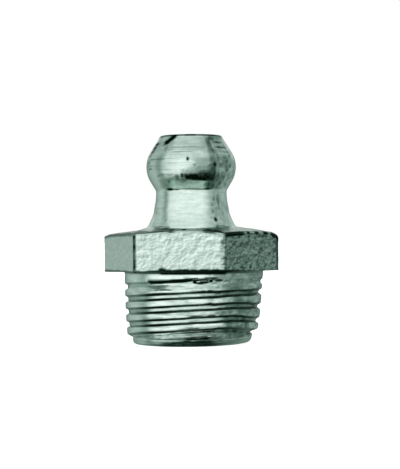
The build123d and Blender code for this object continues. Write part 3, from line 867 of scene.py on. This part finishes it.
# painted shade on the hexagon's top round the neck's foot: side, radius, half length, half width, turn, strength
CONE_SPOTS = [(-21.0, 3.90, 0.32, 0.30, 0, 0.985), (-28.0, 4.00, 0.30, 0.16, 0, 0.60), (17.5, 3.92, 0.46, 0.26, 0, 0.985), (25.0, 4.12, 0.30, 0.13, 0, 0.92),
              (37.0, 4.16, 0.32, 0.12, 0, 0.25), (-37.0, 4.02, 0.40, 0.14, 0, 0.35)]
hpts = []
s = 0.0
for i, p in enumerate(prof):
    if i:
        s += math.hypot(p[0] - prof[i - 1][0], p[1] - prof[i - 1][1])
    q0, q1 = prof[max(0, i - 1)], prof[min(len(prof) - 1, i + 1)]
    tx, tz = q1[0] - q0[0], q1[1] - q0[1]
    L = math.hypot(tx, tz)
    hpts.append((p[0], p[1], s, tz / L, -tx / L))

ca, sa = np.cos(np.radians(TH_B)), np.sin(np.radians(TH_B))
PB = side(TH_B)
for i, (r, z, s, nr, nz) in enumerate(hpts):
    zr = z - HZ
    amp = 0.0010 + 0.0016 * float(smooth(7.6, 8.2, zr)) * (1 - float(smooth(9.3, 9.5, zr)))
    d = amp * noise3(s * 1.0, ca * 0.8, sa * 0.8, 0.13, 21) + 0.5 * amp * noise3(s, ca * 0.5, sa * 0.5, 0.29, 22)
    if zr > 9.5:
        d = d * 0.3
    pit = spots([(-4.4, 13.110, 0.12, 0.14, 0, 1.0), (36.2, 8.860, 0.16, 0.15, 0, 1.0)], TH_B, z, r)
    cut = spots([(-36.8, 14.536, 0.60, 0.14, 38, 1.0)], TH_B, z, r)
    d = d - 0.05 * pit - 0.016 * cut - 0.006 * bands(HEAD_LINES[:4], TH_B, z)
    drop = window(PB, -28, 31, 4) * float(np.interp(r, [3.10, 3.175, 3.200, 3.230, 3.265, 3.35, 3.56, 3.90], [0.0, 0.028, 0.048, 0.080, 0.082, 0.055, 0.015, 0.0])) if zr < 3.4 else 0.0
    lift = lifted(TH_B) * float(np.interp(r, [3.18, 3.60, 4.20], [0.0, 0.095, 0.125])) if zr < 3.2 else 0.0
    tone = head_tone(TH_B, r, z)
    if zr < 3.17:
        # painted shade in a ring round the neck's foot in front, darker outwards, and painted light inwards at the
        # front
        ring_dark = np.clip((0.74 + 0.24 * noise3(ca * 3, sa * 3, 0.0, 0.35, 75)) * window(r, 3.42, 4.30, 0.06) * window(PB, -40, 25, 5), 0, 1)
        k = float(smooth(3.34, 3.60, r))
        dark = np.maximum(ring_dark, spots(CONE_SPOTS, TH_B, np.full(len(TH_B), r), r))
        tone = tone * (1 - dark) * (1 - 0.26 * k) * (1 + 0.28 * (1 - k) * window(PB, -28, 19, 4) + 0.12 * (1 - smooth(-48, -40, PB)) * (PB > -130))
    ids = bld.ring(TH_B, r + d * nr, z + d * nz + lift - drop, 0.077, tone)
    if i == 0:
        bld.bridge(prev, TH_C, ids, TH_B)
    else:
        bld.strip(prev, ids)
    prev = ids

# ---- top face, countersink, inlet, seat, bore, lip
inner = [(2.02, TOTAL - 0.001, 'B'), (1.80, TOTAL, 'B'), (1.60, TOTAL, 'B'), (1.40, TOTAL, 'B'), (1.20, TOTAL, 'B'), (1.115, TOTAL - 0.008, 'B'),
         (1.05, TOTAL - 0.055, 'A'), (0.95, TOTAL - 0.155, 'A'), (0.84, TOTAL - 0.262, 'A'), (0.805, TOTAL - 0.31, 'A'),
         (0.80, TOTAL - 0.36, 'A'), (0.80, TOTAL - 0.45, 'A'), (0.80, 14.37, 'A'), (0.82, 14.32, 'A'),
         (0.95, 14.20, 'A'), (1.10, 14.05, 'A'), (1.25, 13.90, 'A'), (1.40, 13.75, 'A'), (1.445, 13.69, 'A'), (1.45, 13.60, 'A')]
for z in (12.6, 11.2, 9.8, 8.4, 7.0, 5.6, 4.2, 2.8, 1.6, 0.95, 0.80):
    inner.append((1.45, z, 'A'))
inner += [(1.44, 0.745, 'A'), (1.30, 0.70, 'A'), (1.05, 0.655, 'A'), (0.90, 0.628, 'A'), (0.855, 0.605, 'A'), (0.85, 0.55, 'A'),
          (0.85, 0.42, 'A'), (0.85, 0.33, 'A'), (0.865, 0.295, 'A'), (0.98, 0.19, 'A'), (1.10, 0.085, 'A'), (1.175, 0.016, 'A')]
prev_th = TH_B
for r, z, kind in inner:
    th = TH_B if kind == 'B' else TH_A
    off = 0.077 * float(smooth(1.2, 2.1, r)) if z > TOTAL - 0.01 else 0.0
    ids = bld.ring(th, r, z, off, 0.9)
    if len(ids) == len(prev):
        bld.strip(prev, ids)
    else:
        bld.bridge(prev, prev_th, ids, th)
    prev, prev_th = ids, th
bld.strip(prev, first)


def make_object(name, verts, faces, smooth_deg=40.0, attrs=None):
    me = bpy.data.meshes.new(name)
    me.from_pydata([tuple(v) for v in (np.asarray(verts) * MM)], [], [tuple(int(i) for i in f) for f in faces])
    me.validate()
    bm = bmesh.new()
    bm.from_mesh(me)
    bmesh.ops.recalc_face_normals(bm, faces=bm.faces)
    if bm.calc_volume(signed=True) < 0:
        bmesh.ops.reverse_faces(bm, faces=bm.faces)
    bad = sum(1 for e in bm.edges if len(e.link_faces) != 2)
    tris = sum(len(f.verts) - 2 for f in bm.faces)
    print(f"MESH {name}: {len(bm.verts)} verts, {tris} triangles, {bad} open or non-manifold edges, volume {bm.calc_volume(signed=True) * 1e9:.2f} mm3")
    bm.to_mesh(me)
    bm.free()
    me.shade_smooth()
    me.set_sharp_from_angle(angle=math.radians(smooth_deg))
    for key, values in (attrs or {}).items():
        if len(values) != len(me.vertices):
            raise RuntimeError("vertex count changed")
        at = me.attributes.new(key, "FLOAT", "POINT")
        at.data.foreach_set("value", np.asarray(values, np.float32))
    ob = bpy.data.objects.new(name, me)
    bpy.context.scene.collection.objects.link(ob)
    return ob


body = make_object("nipple_body_turned", np.concatenate(bld.v), bld.f, 38.0,
                   {"tone": np.concatenate(bld.tone), "flat": np.concatenate(bld.flat), "wear": np.concatenate(bld.wear)})


# --------------------------------------------------------------------------------------------------
# Ball and spring
# --------------------------------------------------------------------------------------------------
def ball_mesh():
    R, zc = 1.25, 13.3539
    b = Builder()
    n, rows = 64, 40
    th = np.arange(n) * 360.0 / n
    prev = None
    first = last = None
    for k in range(1, rows):
        el = -90 + 180.0 * k / rows
        # a faint lapped band where the ball meets its 45 degree seat
        d = -0.0015 * math.exp(-((el - 45) / 2.5) ** 2)
        ids = b.ring(th, (R + d) * math.cos(math.radians(el)), zc + (R + d) * math.sin(math.radians(el)))
        if prev is None:
            first = ids
        else:
            b.strip(prev, ids)
        prev = ids
    last = prev
    b.v.append(np.array([[0, 0, zc - R], [0, 0, zc + R]]))
    p, q = b.n, b.n + 1
    b.n += 2
    for j in range(n):
        k = (j + 1) % n
        b.f.append((first[k], first[j], p))
        b.f.append((last[j], last[k], q))
    return make_object("check_ball_lapped", np.concatenate(b.v), b.f, 60)


def spring_mesh():
    wire, coil = 0.14, 0.98
    z0, p_end, turns = 0.900, 0.295, 9
    z1 = 12.3402
    p_act = (z1 - z0 - 2 * p_end) / turns
    seg, sides = 40, 14
    pts = []
    total = turns + 2
    for k in range(total * seg + 1):
        t = k / seg
        # pitch grows smoothly from the closed end turns to the open ones
        if t < 1:
            z = z0 + p_end * t
        elif t > total - 1:
            z = z1 - p_end * (total - t)
        else:
            z = z0 + p_end + p_act * (t - 1)
        a = 2 * math.pi * t
        pts.append((coil * math.cos(a), coil * math.sin(a), z))
    P = np.array(pts)
    # even out the change of pitch
    for _ in range(3):
        z = P[:, 2].copy()
        z[1:-1] = (z[:-2] + 2 * z[1:-1] + z[2:]) / 4
        P[:, 2] = z
    T = np.gradient(P, axis=0)
    T /= np.linalg.norm(T, axis=1)[:, None]
    radial = P * np.array([1, 1, 0])
    radial /= np.linalg.norm(radial, axis=1)[:, None]
    up = np.cross(T, radial)
    verts, faces = [], []
    lo, hi = z0 - wire, z1 + wire
    for i in range(len(P)):
        for s_ in range(sides):
            a = 2 * math.pi * s_ / sides
            v = P[i] + wire * (math.cos(a) * radial[i] + math.sin(a) * up[i])
            verts.append(v)
    n = len(P)
    for i in range(n - 1):
        for s_ in range(sides):
            q = (s_ + 1) % sides
            faces.append((i * sides + s_, i * sides + q, (i + 1) * sides + q, (i + 1) * sides + s_))
    # the cut ends, each with a small rounded-off rim
    for end, i in ((-1, 0), (1, n - 1)):
        base = [i * sides + s_ for s_ in range(sides)]
        ring2 = []
        for s_ in range(sides):
            a = 2 * math.pi * s_ / sides
            v = P[i] + T[i] * end * 0.02 + 0.8 * wire * (math.cos(a) * radial[i] + math.sin(a) * up[i])
            ring2.append(len(verts))
            verts.append(v)
        for s_ in range(sides):
            q = (s_ + 1) % sides
            faces.append((base[s_], base[q], ring2[q], ring2[s_]) if end > 0 else (base[q], base[s_], ring2[s_], ring2[q]))
        faces.append(tuple(ring2) if end > 0 else tuple(reversed(ring2)))
    V = np.array(verts)
    V[:, 2] = np.clip(V[:, 2], 0.762, 12.478)
    return make_object("ball_spring_coiled", V, faces, 50)


ball = ball_mesh()
spring = spring_mesh()


# --------------------------------------------------------------------------------------------------
# Materials
# --------------------------------------------------------------------------------------------------
class Nodes:
    def __init__(self, tree):
        self.t = tree
        tree.nodes.clear()

    def new(self, kind, **kw):
        n = self.t.nodes.new(kind)
        for k, v in kw.items():
            setattr(n, k, v)
        return n

    def link(self, a, b):
        self.t.links.new(a, b)

    def put(self, sock, x):
        if isinstance(x, (int, float)):
            sock.default_value = x
        elif isinstance(x, tuple):
            sock.default_value = x if len(sock.default_value) == len(x) else (*x, 1)
        else:
            self.link(x, sock)

    def math(self, op, a, b=None, c=None, clamp=False):
        n = self.new("ShaderNodeMath", operation=op, use_clamp=clamp)
        for i, x in enumerate((a, b, c)):
            if x is not None:
                self.put(n.inputs[i], x)
        return n.outputs[0]

    def vmath(self, op, a, b=None, out=0):
        n = self.new("ShaderNodeVectorMath", operation=op)
        self.put(n.inputs[0], a)
        if b is not None:
            self.put(n.inputs[1], b)
        return n.outputs[out]

    def remap(self, x, a, b, c, d):
        n = self.new("ShaderNodeMapRange", clamp=True)
        for i, v in enumerate((x, a, b, c, d)):
            self.put(n.inputs[i], v)
        return n.outputs[0]

    def ramp(self, fac, stops, mode="LINEAR"):
        n = self.new("ShaderNodeValToRGB")
        n.color_ramp.interpolation = mode
        e = n.color_ramp.elements
        while len(e) > 1:
            e.remove(e[-1])
        e[0].position = stops[0][0]
        e[0].color = (*stops[0][1], 1)
        for p, c in stops[1:]:
            k = e.new(p)
            k.color = (*c, 1)
        self.link(fac, n.inputs[0])
        return n.outputs[0]

    def mixc(self, fac, a, b, blend="MIX"):
        n = self.new("ShaderNodeMix", data_type="RGBA", blend_type=blend)
        for sock, x in ((n.inputs[0], fac), (n.inputs[6], a), (n.inputs[7], b)):
            self.put(sock, x)
        return n.outputs[2]

    def attr(self, name):
        return self.new("ShaderNodeAttribute", attribute_type="GEOMETRY", attribute_name=name).outputs["Fac"]

    def noise(self, vec, scale, detail=2.0, rough=0.5, dist=0.0):
        n = self.new("ShaderNodeTexNoise")
        n.inputs["Scale"].default_value = scale
        n.inputs["Detail"].default_value = detail
        n.inputs["Roughness"].default_value = rough
        n.inputs["Distortion"].default_value = dist
        self.link(vec, n.inputs["Vector"])
        return n.outputs["Fac"]

    def new_z(self, vec):
        n = self.new("ShaderNodeSeparateXYZ")
        self.link(vec, n.inputs[0])
        return n.outputs[2]

    def bump(self, height, strength, distance, normal=None):
        n = self.new("ShaderNodeBump")
        n.inputs["Strength"].default_value = strength
        n.inputs["Distance"].default_value = distance
        self.link(height, n.inputs["Height"])
        if normal is not None:
            self.link(normal, n.inputs["Normal"])
        return n.outputs["Normal"]


# marks at the end of the thread: side in degrees, height, half length, half width in mm, turn, strength
SCAR = [(0.5, 4.527, 0.150, 0.120, 0, 1.0), (5.1, 4.642, 0.345, 0.050, 4, 0.90), (6.0, 4.468, 0.573, 0.062, 2, 0.985), (8.8, 4.550, 0.400, 0.080, 4, 0.86),
        (13.9, 4.588, 0.150, 0.112, 20, 0.98), (20.5, 4.613, 0.330, 0.090, 0, 0.88), (27.0, 4.574, 0.250, 0.075, 0, 0.55), (16.5, 4.447, 0.251, 0.062, 10, 0.45),
        (11.8, 0.612, 0.50, 0.072, 7, 0.985), (-0.6, 0.540, 0.74, 0.050, 3, 0.80), (-28.0, 0.505, 1.50, 0.042, 0, 0.62), (22.0, 0.630, 0.34, 0.065, 4, 0.60)]


def scar_mask(N, pos, fuzz):
    """Darkness of the marks, worked out from the point's side and height."""
    a = math.radians(CAM_AZ)
    front = N.vmath("DOT_PRODUCT", pos, (math.sin(a), -math.cos(a), 0.0), out=1)
    right = N.math("SUBTRACT", N.vmath("DOT_PRODUCT", pos, (math.cos(a), math.sin(a), 0.0), out=1), 0.000205)
    u = N.math("MULTIPLY_ADD", N.math("ARCTAN2", right, front), 4.97, N.math("MULTIPLY_ADD", fuzz, 0.10, -0.05))
    v = N.math("MULTIPLY_ADD", N.new_z(pos), 1000.0, N.math("MULTIPLY_ADD", fuzz, -0.05, 0.025))
    total = None
    for p0, z0, la, lb, rot, strength in SCAR:
        c, q = math.cos(math.radians(rot)), math.sin(math.radians(rot))
        u0, v0 = math.radians(p0) * 4.97, z0
        x = N.math("MULTIPLY_ADD", u, c / la, N.math("MULTIPLY_ADD", v, q / la, -(u0 * c + v0 * q) / la))
        y = N.math("MULTIPLY_ADD", u, -q / lb, N.math("MULTIPLY_ADD", v, c / lb, -(-u0 * q + v0 * c) / lb))
        comb = N.new("ShaderNodeCombineXYZ")
        N.link(x, comb.inputs[0])
        N.link(y, comb.inputs[1])
        d = N.remap(N.vmath("LENGTH", comb.outputs[0], out=1), 0.70, 1.25, strength, 0.0)
        total = d if total is None else N.math("MAXIMUM", total, d)
    # a paler spot in its left end
    return N.math("MULTIPLY", total, N.math("SUBTRACT", 1.0, ellipse(N, u, v, 3.65, 4.550, 0.085, 0.060, 0.22)))


def ellipse(N, u, v, p0, z0, la, lb, strength):
    comb = N.new("ShaderNodeCombineXYZ")
    N.link(N.math("MULTIPLY_ADD", u, 1 / la, -math.radians(p0) * 4.97 / la), comb.inputs[0])
    N.link(N.math("MULTIPLY_ADD", v, 1 / lb, -z0 / lb), comb.inputs[1])
    return N.remap(N.vmath("LENGTH", comb.outputs[0], out=1), 0.6, 1.4, strength, 0.0)


def zinc_material(name):
    """Bright zinc over turned and drawn steel: cutter rings, mottled flats with painted light and shade on each dimple,
    dull and dead black where tone, with its painted shade and residue, is low.
    """
    m = bpy.data.materials.new(name)
    m.use_nodes = True
    N = Nodes(m.node_tree)
    out = N.new("ShaderNodeOutputMaterial")
    b = N.new("ShaderNodeBsdfPrincipled")
    N.link(b.outputs[0], out.inputs[0])
    b.inputs["Metallic"].default_value = 1.0
    pos = N.new("ShaderNodeTexCoord").outputs["Object"]
    tone = N.attr("tone")
    flat = N.attr("flat")
    turned = N.math("SUBTRACT", 1.0, flat, clamp=True)

    # position along the profile: fine rings lie square to it on every turned surface
    sep = N.new("ShaderNodeSeparateXYZ")
    N.link(pos, sep.inputs[0])
    rad = N.vmath("LENGTH", N.vmath("MULTIPLY", pos, (1.0, 1.0, 0.0)), out=1)
    s = N.math("MULTIPLY_ADD", rad, 0.6, sep.outputs[2])
    comb = N.new("ShaderNodeCombineXYZ")
    N.link(N.math("MULTIPLY", sep.outputs[0], 0.05), comb.inputs[0])
    N.link(N.math("MULTIPLY", sep.outputs[1], 0.05), comb.inputs[1])
    N.link(s, comb.inputs[2])
    rings = N.noise(comb.outputs[0], 11000.0, 2.0, 0.6)
    comb2 = N.new("ShaderNodeCombineXYZ")
    N.link(N.math("MULTIPLY", sep.outputs[0], 0.22), comb2.inputs[0])
    N.link(N.math("MULTIPLY", sep.outputs[1], 0.22), comb2.inputs[1])
    N.link(s, comb2.inputs[2])
    rings2 = N.noise(comb2.outputs[0], 5200.0, 3.0, 0.55)

    # blotches of the plating, and the flats' drawn skin; each dimple gets painted light and shade from a copy of the
    # noise shifted towards the light
    blot = N.noise(pos, 3300.0, 3.0, 0.55)
    dent = N.vmath("MULTIPLY", pos, (0.76, 0.76, 1.0))
    cells = N.noise(dent, 3000.0, 1.0, 0.5, 0.12)
    lit = N.noise(N.vmath("ADD", dent, (-0.000048, 0.0, 0.000060)), 3000.0, 1.0, 0.5, 0.12)
    painted_dimple_shading = N.math("SUBTRACT", cells, lit)
    specks = N.noise(pos, 9000.0, 2.0, 0.6)

    f_turn = N.math("MULTIPLY", N.remap(rings, 0.30, 0.70, 0.93, 1.05), N.remap(rings2, 0.32, 0.68, 0.90, 1.05))
    f_turn = N.math("MULTIPLY", f_turn, N.remap(blot, 0.30, 0.70, 0.93, 1.05))
    cell = N.math("ADD", N.remap(painted_dimple_shading, -0.15, 0.15, 1.25, -1.05), N.remap(specks, 0.30, 0.70, -0.25, 0.25))
    f_flat = N.math("SUBTRACT", 0.98, N.math("MULTIPLY", flat, N.math("MULTIPLY_ADD", cell, 0.36, 0.27)))
    f = N.mixc(flat, f_turn, f_flat)
    f = N.math("MULTIPLY", f, tone)
    # streaks along the thread's ridges, strongest in front
    comb3 = N.new("ShaderNodeCombineXYZ")
    N.link(N.math("MULTIPLY", sep.outputs[0], 0.16), comb3.inputs[0])
    N.link(N.math("MULTIPLY", sep.outputs[1], 0.16), comb3.inputs[1])
    N.link(sep.outputs[2], comb3.inputs[2])
    streaks = N.noise(comb3.outputs[0], 6800.0, 2.0, 0.55, 0.2)
    f = N.math("MULTIPLY", f, N.math("SUBTRACT", 1.0, N.math("MULTIPLY", N.attr("wear"), N.remap(streaks, 0.46, 0.68, 0.0, 0.48))))
    # the scar at the end of the thread
    f = N.math("MULTIPLY", f, N.math("SUBTRACT", 1.0, scar_mask(N, pos, specks)))
    f = N.math("MAXIMUM", f, 0.004)
    black = N.remap(f, 0.015, 0.085, 0.0, 1.0)
    f = N.math("MULTIPLY", f, N.math("MULTIPLY_ADD", black, 0.65, 0.35))
    # the darker, the greener
    col = N.new("ShaderNodeCombineColor")
    N.link(N.math("MULTIPLY", N.math("POWER", f, 1.20), 0.715), col.inputs[0])
    N.link(N.math("MULTIPLY", f, 0.86), col.inputs[1])
    N.link(N.math("MULTIPLY", N.math("POWER", f, 1.08), 0.79), col.inputs[2])
    N.link(col.outputs[0], b.inputs["Base Color"])
    # the darkest places, painted shade and residue alike, are dead black, with no shine even along the surface
    N.link(black, b.inputs["Metallic"])
    b.inputs["Specular IOR Level"].default_value = 0.0

    rough = N.remap(specks, 0.3, 0.7, 0.15, 0.25)
    rough = N.math("ADD", rough, N.math("MULTIPLY", flat, 0.05))
    dull = N.remap(tone, 0.1, 0.9, 0.08, 0.0)
    N.link(N.math("ADD", rough, dull), b.inputs["Roughness"])

    nrm = N.bump(N.math("MULTIPLY", N.math("ADD", rings, rings2), turned), 0.55, 0.0000045)
    nrm = N.bump(N.math("MULTIPLY", cells, flat), 0.8, 0.000016, nrm)
    nrm = N.bump(specks, 0.35, 0.000004, nrm)
    N.link(nrm, b.inputs["Normal"])
    return m


def ball_material(name):
    """Lapped bearing steel with hair-fine crossing scratches."""
    m = bpy.data.materials.new(name)
    m.use_nodes = True
    N = Nodes(m.node_tree)
    out = N.new("ShaderNodeOutputMaterial")
    b = N.new("ShaderNodeBsdfPrincipled")
    N.link(b.outputs[0], out.inputs[0])
    b.inputs["Metallic"].default_value = 1.0
    pos = N.new("ShaderNodeTexCoord").outputs["Object"]
    haze = N.noise(pos, 2400.0, 4.0, 0.6)
    hair = N.noise(N.vmath("MULTIPLY", pos, (1.0, 0.06, 0.4)), 24000.0, 2.0, 0.5)
    N.link(N.ramp(haze, [(0.30, (0.50, 0.51, 0.52)), (0.70, (0.62, 0.63, 0.64))]), b.inputs["Base Color"])
    N.link(N.remap(haze, 0.3, 0.7, 0.06, 0.14), b.inputs["Roughness"])
    N.link(N.bump(hair, 0.25, 0.000001), b.inputs["Normal"])
    return m


def wire_material(name):
    """Drawn spring wire: darker steel with a patchy bluish skin and draw lines."""
    m = bpy.data.materials.new(name)
    m.use_nodes = True
    N = Nodes(m.node_tree)
    out = N.new("ShaderNodeOutputMaterial")
    b = N.new("ShaderNodeBsdfPrincipled")
    N.link(b.outputs[0], out.inputs[0])
    b.inputs["Metallic"].default_value = 1.0
    pos = N.new("ShaderNodeTexCoord").outputs["Object"]
    patch = N.noise(pos, 1900.0, 4.0, 0.6)
    lines = N.noise(N.vmath("MULTIPLY", pos, (0.12, 0.12, 1.0)), 21000.0, 2.0, 0.6)
    N.link(N.ramp(patch, [(0.28, (0.30, 0.31, 0.34)), (0.50, (0.42, 0.43, 0.45)), (0.72, (0.52, 0.53, 0.53))]), b.inputs["Base Color"])
    N.link(N.remap(lines, 0.3, 0.7, 0.22, 0.40), b.inputs["Roughness"])
    N.link(N.bump(lines, 0.4, 0.000003), b.inputs["Normal"])
    return m


body.data.materials.append(zinc_material("zinc_plating"))
ball.data.materials.append(ball_material("bearing_steel_lapped"))
spring.data.materials.append(wire_material("spring_wire_drawn"))

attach(body, "nipple")
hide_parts("nipple_body")
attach(spring, "nipple")
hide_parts("ball_spring")
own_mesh(spring)
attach(ball, "ball")
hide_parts("check_ball")

# --------------------------------------------------------------------------------------------------
# Floor, light, camera
# --------------------------------------------------------------------------------------------------
scene = bpy.context.scene
scene.view_settings.view_transform = "Standard"
scene.view_settings.look = "None"
scene.view_settings.exposure = 0.0
scene.view_settings.gamma = 1.0

fm = bpy.data.meshes.new("floor")
S = 1.5
fm.from_pydata([(-S, -S, 0), (S, -S, 0), (S, S, 0), (-S, S, 0)], [], [(0, 1, 2, 3)])
floor = bpy.data.objects.new("floor", fm)
scene.collection.objects.link(floor)
floor.location.z = -0.00001
floor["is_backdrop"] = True
floor.visible_glossy = False
mat = bpy.data.materials.new("pale_floor")
mat.use_nodes = True
N = Nodes(mat.node_tree)
out = N.new("ShaderNodeOutputMaterial")
dif = N.new("ShaderNodeBsdfDiffuse")
dif.inputs[0].default_value = (0.9, 0.9, 0.9, 1)
emi = N.new("ShaderNodeEmission")
emi.inputs[0].default_value = (1, 1, 1, 1)
emi.inputs[1].default_value = 0.80
add = N.new("ShaderNodeAddShader")
N.link(dif.outputs[0], add.inputs[0])
N.link(emi.outputs[0], add.inputs[1])
N.link(add.outputs[0], out.inputs[0])
fm.materials.append(mat)

world = bpy.data.worlds.new("studio")
scene.world = world
world.use_nodes = True
N = Nodes(world.node_tree)
out = N.new("ShaderNodeOutputWorld")
d = N.new("ShaderNodeTexCoord").outputs["Generated"]
ang = math.radians(CAM_AZ)
fwd = N.vmath("DOT_PRODUCT", d, (math.sin(ang), -math.cos(ang), 0.0), out=1)      # towards the camera
rgt = N.vmath("DOT_PRODUCT", d, (math.cos(ang), math.sin(ang), 0.0), out=1)       # towards the picture's right
upz = N.vmath("DOT_PRODUCT", d, (0.0, 0.0, 1.0), out=1)
az01 = N.math("ADD", N.math("MULTIPLY", N.math("ARCTAN2", rgt, fwd), 1 / (2 * math.pi)), 0.5)
el01 = N.math("ADD", N.math("MULTIPLY", N.math("ARCSINE", upz), 1 / math.pi), 0.5)


def A(deg):
    return (deg + 180.0) / 360.0


def E(deg):
    return (deg + 90.0) / 180.0


def g(v):
    """A grey with a green cast that grows as it gets darker."""
    return (v ** 1.20 * 1.0, v, v ** 1.08)


def arc(*stops):
    return N.ramp(az01, [(A(a), g(v)) for a, v in stops])


def rise(a, b):
    return N.ramp(el01, [(E(a), (0, 0, 0)), (E(b), (1, 1, 1))])


def span(a, b, s):
    """1 between two azimuths relative to the camera."""
    return N.ramp(az01, [(A(a - s), (0, 0, 0)), (A(a + s), (1, 1, 1)), (A(b - s), (1, 1, 1)), (A(b + s), (0, 0, 0))])


ring_c = arc((-180, 0.20), (-165, 0.25), (-150, 0.35), (-140, 0.47), (-128, 0.52), (-112, 0.58), (-102, 0.50), (-93, 0.33), (-87, 0.42), (-82, 0.68),
             (-78, 0.90), (-70, 1.02), (-45, 1.09), (0, 1.09), (38, 1.05), (50, 0.88), (60, 0.58), (70, 0.40), (92, 0.38), (104, 0.38), (118, 0.42),
             (132, 0.46), (150, 0.38), (162, 0.30), (172, 0.22), (180, 0.20))
up_c = arc((-180, 0.25), (-150, 0.42), (-118, 0.66), (-100, 0.60), (-93, 0.50), (-87, 0.60), (-80, 0.96), (0, 1.04), (45, 0.96), (62, 0.66), (80, 0.60),
           (112, 0.66), (135, 0.46), (160, 0.30), (180, 0.25))
top_c = arc((-180, 0.10), (-110, 0.20), (-88, 0.44), (-70, 0.72), (0, 0.76), (45, 0.68), (75, 0.40), (100, 0.20), (180, 0.10))
zen_c = arc((-180, 1.00), (-120, 0.80), (-90, 0.80), (-60, 1.05), (0, 1.10), (50, 1.00), (80, 0.70), (120, 0.60), (180, 1.00))
low_c = arc((-180, 0.12), (-130, 0.14), (-104, 0.34), (-85, 0.46), (0, 0.52), (50, 0.42), (80, 0.20), (110, 0.10), (180, 0.12))
c = N.mixc(rise(27, 40), ring_c, up_c)
c = N.mixc(rise(62, 67), c, top_c)
# the high back is dark, up to near the zenith
back = N.ramp(az01, [(A(-128), (1, 1, 1)), (A(-108), (0, 0, 0)), (A(92), (0, 0, 0)), (A(116), (1, 1, 1))])
behind = N.ramp(az01, [(A(-156), (1, 1, 1)), (A(-144), (0, 0, 0)), (A(148), (0, 0, 0)), (A(160), (1, 1, 1))])
c = N.mixc(N.math("MULTIPLY", back, rise(34, 46)), c, g(0.09))
c = N.mixc(N.math("MULTIPLY", behind, rise(24, 30)), c, g(0.12))
c = N.mixc(N.math("MULTIPLY", behind, rise(37, 44)), c, g(0.97))
c = N.mixc(rise(72, 78), c, zen_c)
# low: mid grey at the left, black in front and to its right, and the lightest straight below
c = N.mixc(N.math("MULTIPLY", N.math("SUBTRACT", 1.0, rise(-36, -28)), span(-190, -90, 4)), c, g(0.30))
c = N.mixc(N.math("MULTIPLY", N.math("SUBTRACT", 1.0, rise(-38, -31)), span(-90, -38, 4)), c, g(0.28))
c = N.mixc(N.math("MULTIPLY", N.math("SUBTRACT", 1.0, rise(-37, -30)), span(-38, -22, 4)), c, g(0.24))
c = N.mixc(N.math("MULTIPLY", N.math("SUBTRACT", 1.0, rise(-32, -22)), span(-22, 14, 4)), c, g(0.008))
c = N.mixc(N.math("MULTIPLY", N.math("SUBTRACT", 1.0, rise(-27, -14)), span(14, 52, 5)), c, g(0.010))
c = N.mixc(N.math("MULTIPLY", N.math("SUBTRACT", 1.0, rise(-40, -20)), span(55, 118, 6)), c, g(0.20))
c = N.mixc(N.math("SUBTRACT", 1.0, rise(-66, -61)), c, low_c)
# the horizon behind is a bright strip that the hexagon's top picks up
strip = N.math("MULTIPLY", N.ramp(el01, [(E(7), (0, 0, 0)), (E(11), (1, 1, 1)), (E(22), (1, 1, 1)), (E(28), (0, 0, 0))]),
               N.ramp(az01, [(A(-150), (1, 1, 1)), (A(-132), (0, 0, 0)), (A(138), (0, 0, 0)), (A(152), (1, 1, 1))]))
c = N.mixc(strip, c, g(0.66))
lp = N.new("ShaderNodeLightPath")
c = N.mixc(lp.outputs["Is Camera Ray"], c, (1.0, 1.0, 1.0))
bg = N.new("ShaderNodeBackground")
N.link(c, bg.inputs[0])
bg.inputs[1].default_value = 1.0
N.link(bg.outputs[0], out.inputs[0])

cam_data = bpy.data.cameras.new("camera")
cam = bpy.data.objects.new("camera", cam_data)
scene.collection.objects.link(cam)
scene.camera = cam
D = 0.105
CZ = 0.00775
cam_data.sensor_width = 36.0
cam_data.sensor_fit = "AUTO"
K = 13.88                                                   # pixels a millimetre at the axis
cam_data.lens = 36.0 * D * 1000.0 / (469.0 / K)
cam_data.clip_start = 0.001
cam_data.clip_end = 20.0
pos = Vector((math.sin(ang) * D, -math.cos(ang) * D, CZ))
yaw = math.atan2(9.35 / K, D * 1000.0)                      # the axis stands left of the picture's middle
look = Vector((-math.sin(ang), math.cos(ang), 0.0))
look.rotate(Matrix.Rotation(-yaw, 3, "Z"))
look.z = 0.6 / K / (D * 1000.0) * 1.0
q = look.to_track_quat("-Z", "Y")
roll = Matrix.Rotation(math.radians(-0.5), 4, "Z")
cam.matrix_world = Matrix.Translation(pos) @ q.to_matrix().to_4x4() @ roll

# --------------------------------------------------------------------------------------------------
bpy.context.view_layer.update()
VIS_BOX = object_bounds()


def plain(b):
    return [[float(x) for x in v] for v in b] if hasattr(b[0], "__len__") else [float(x) for x in b]


{"cad": plain(CAD_BOX), "visual": plain(VIS_BOX)}
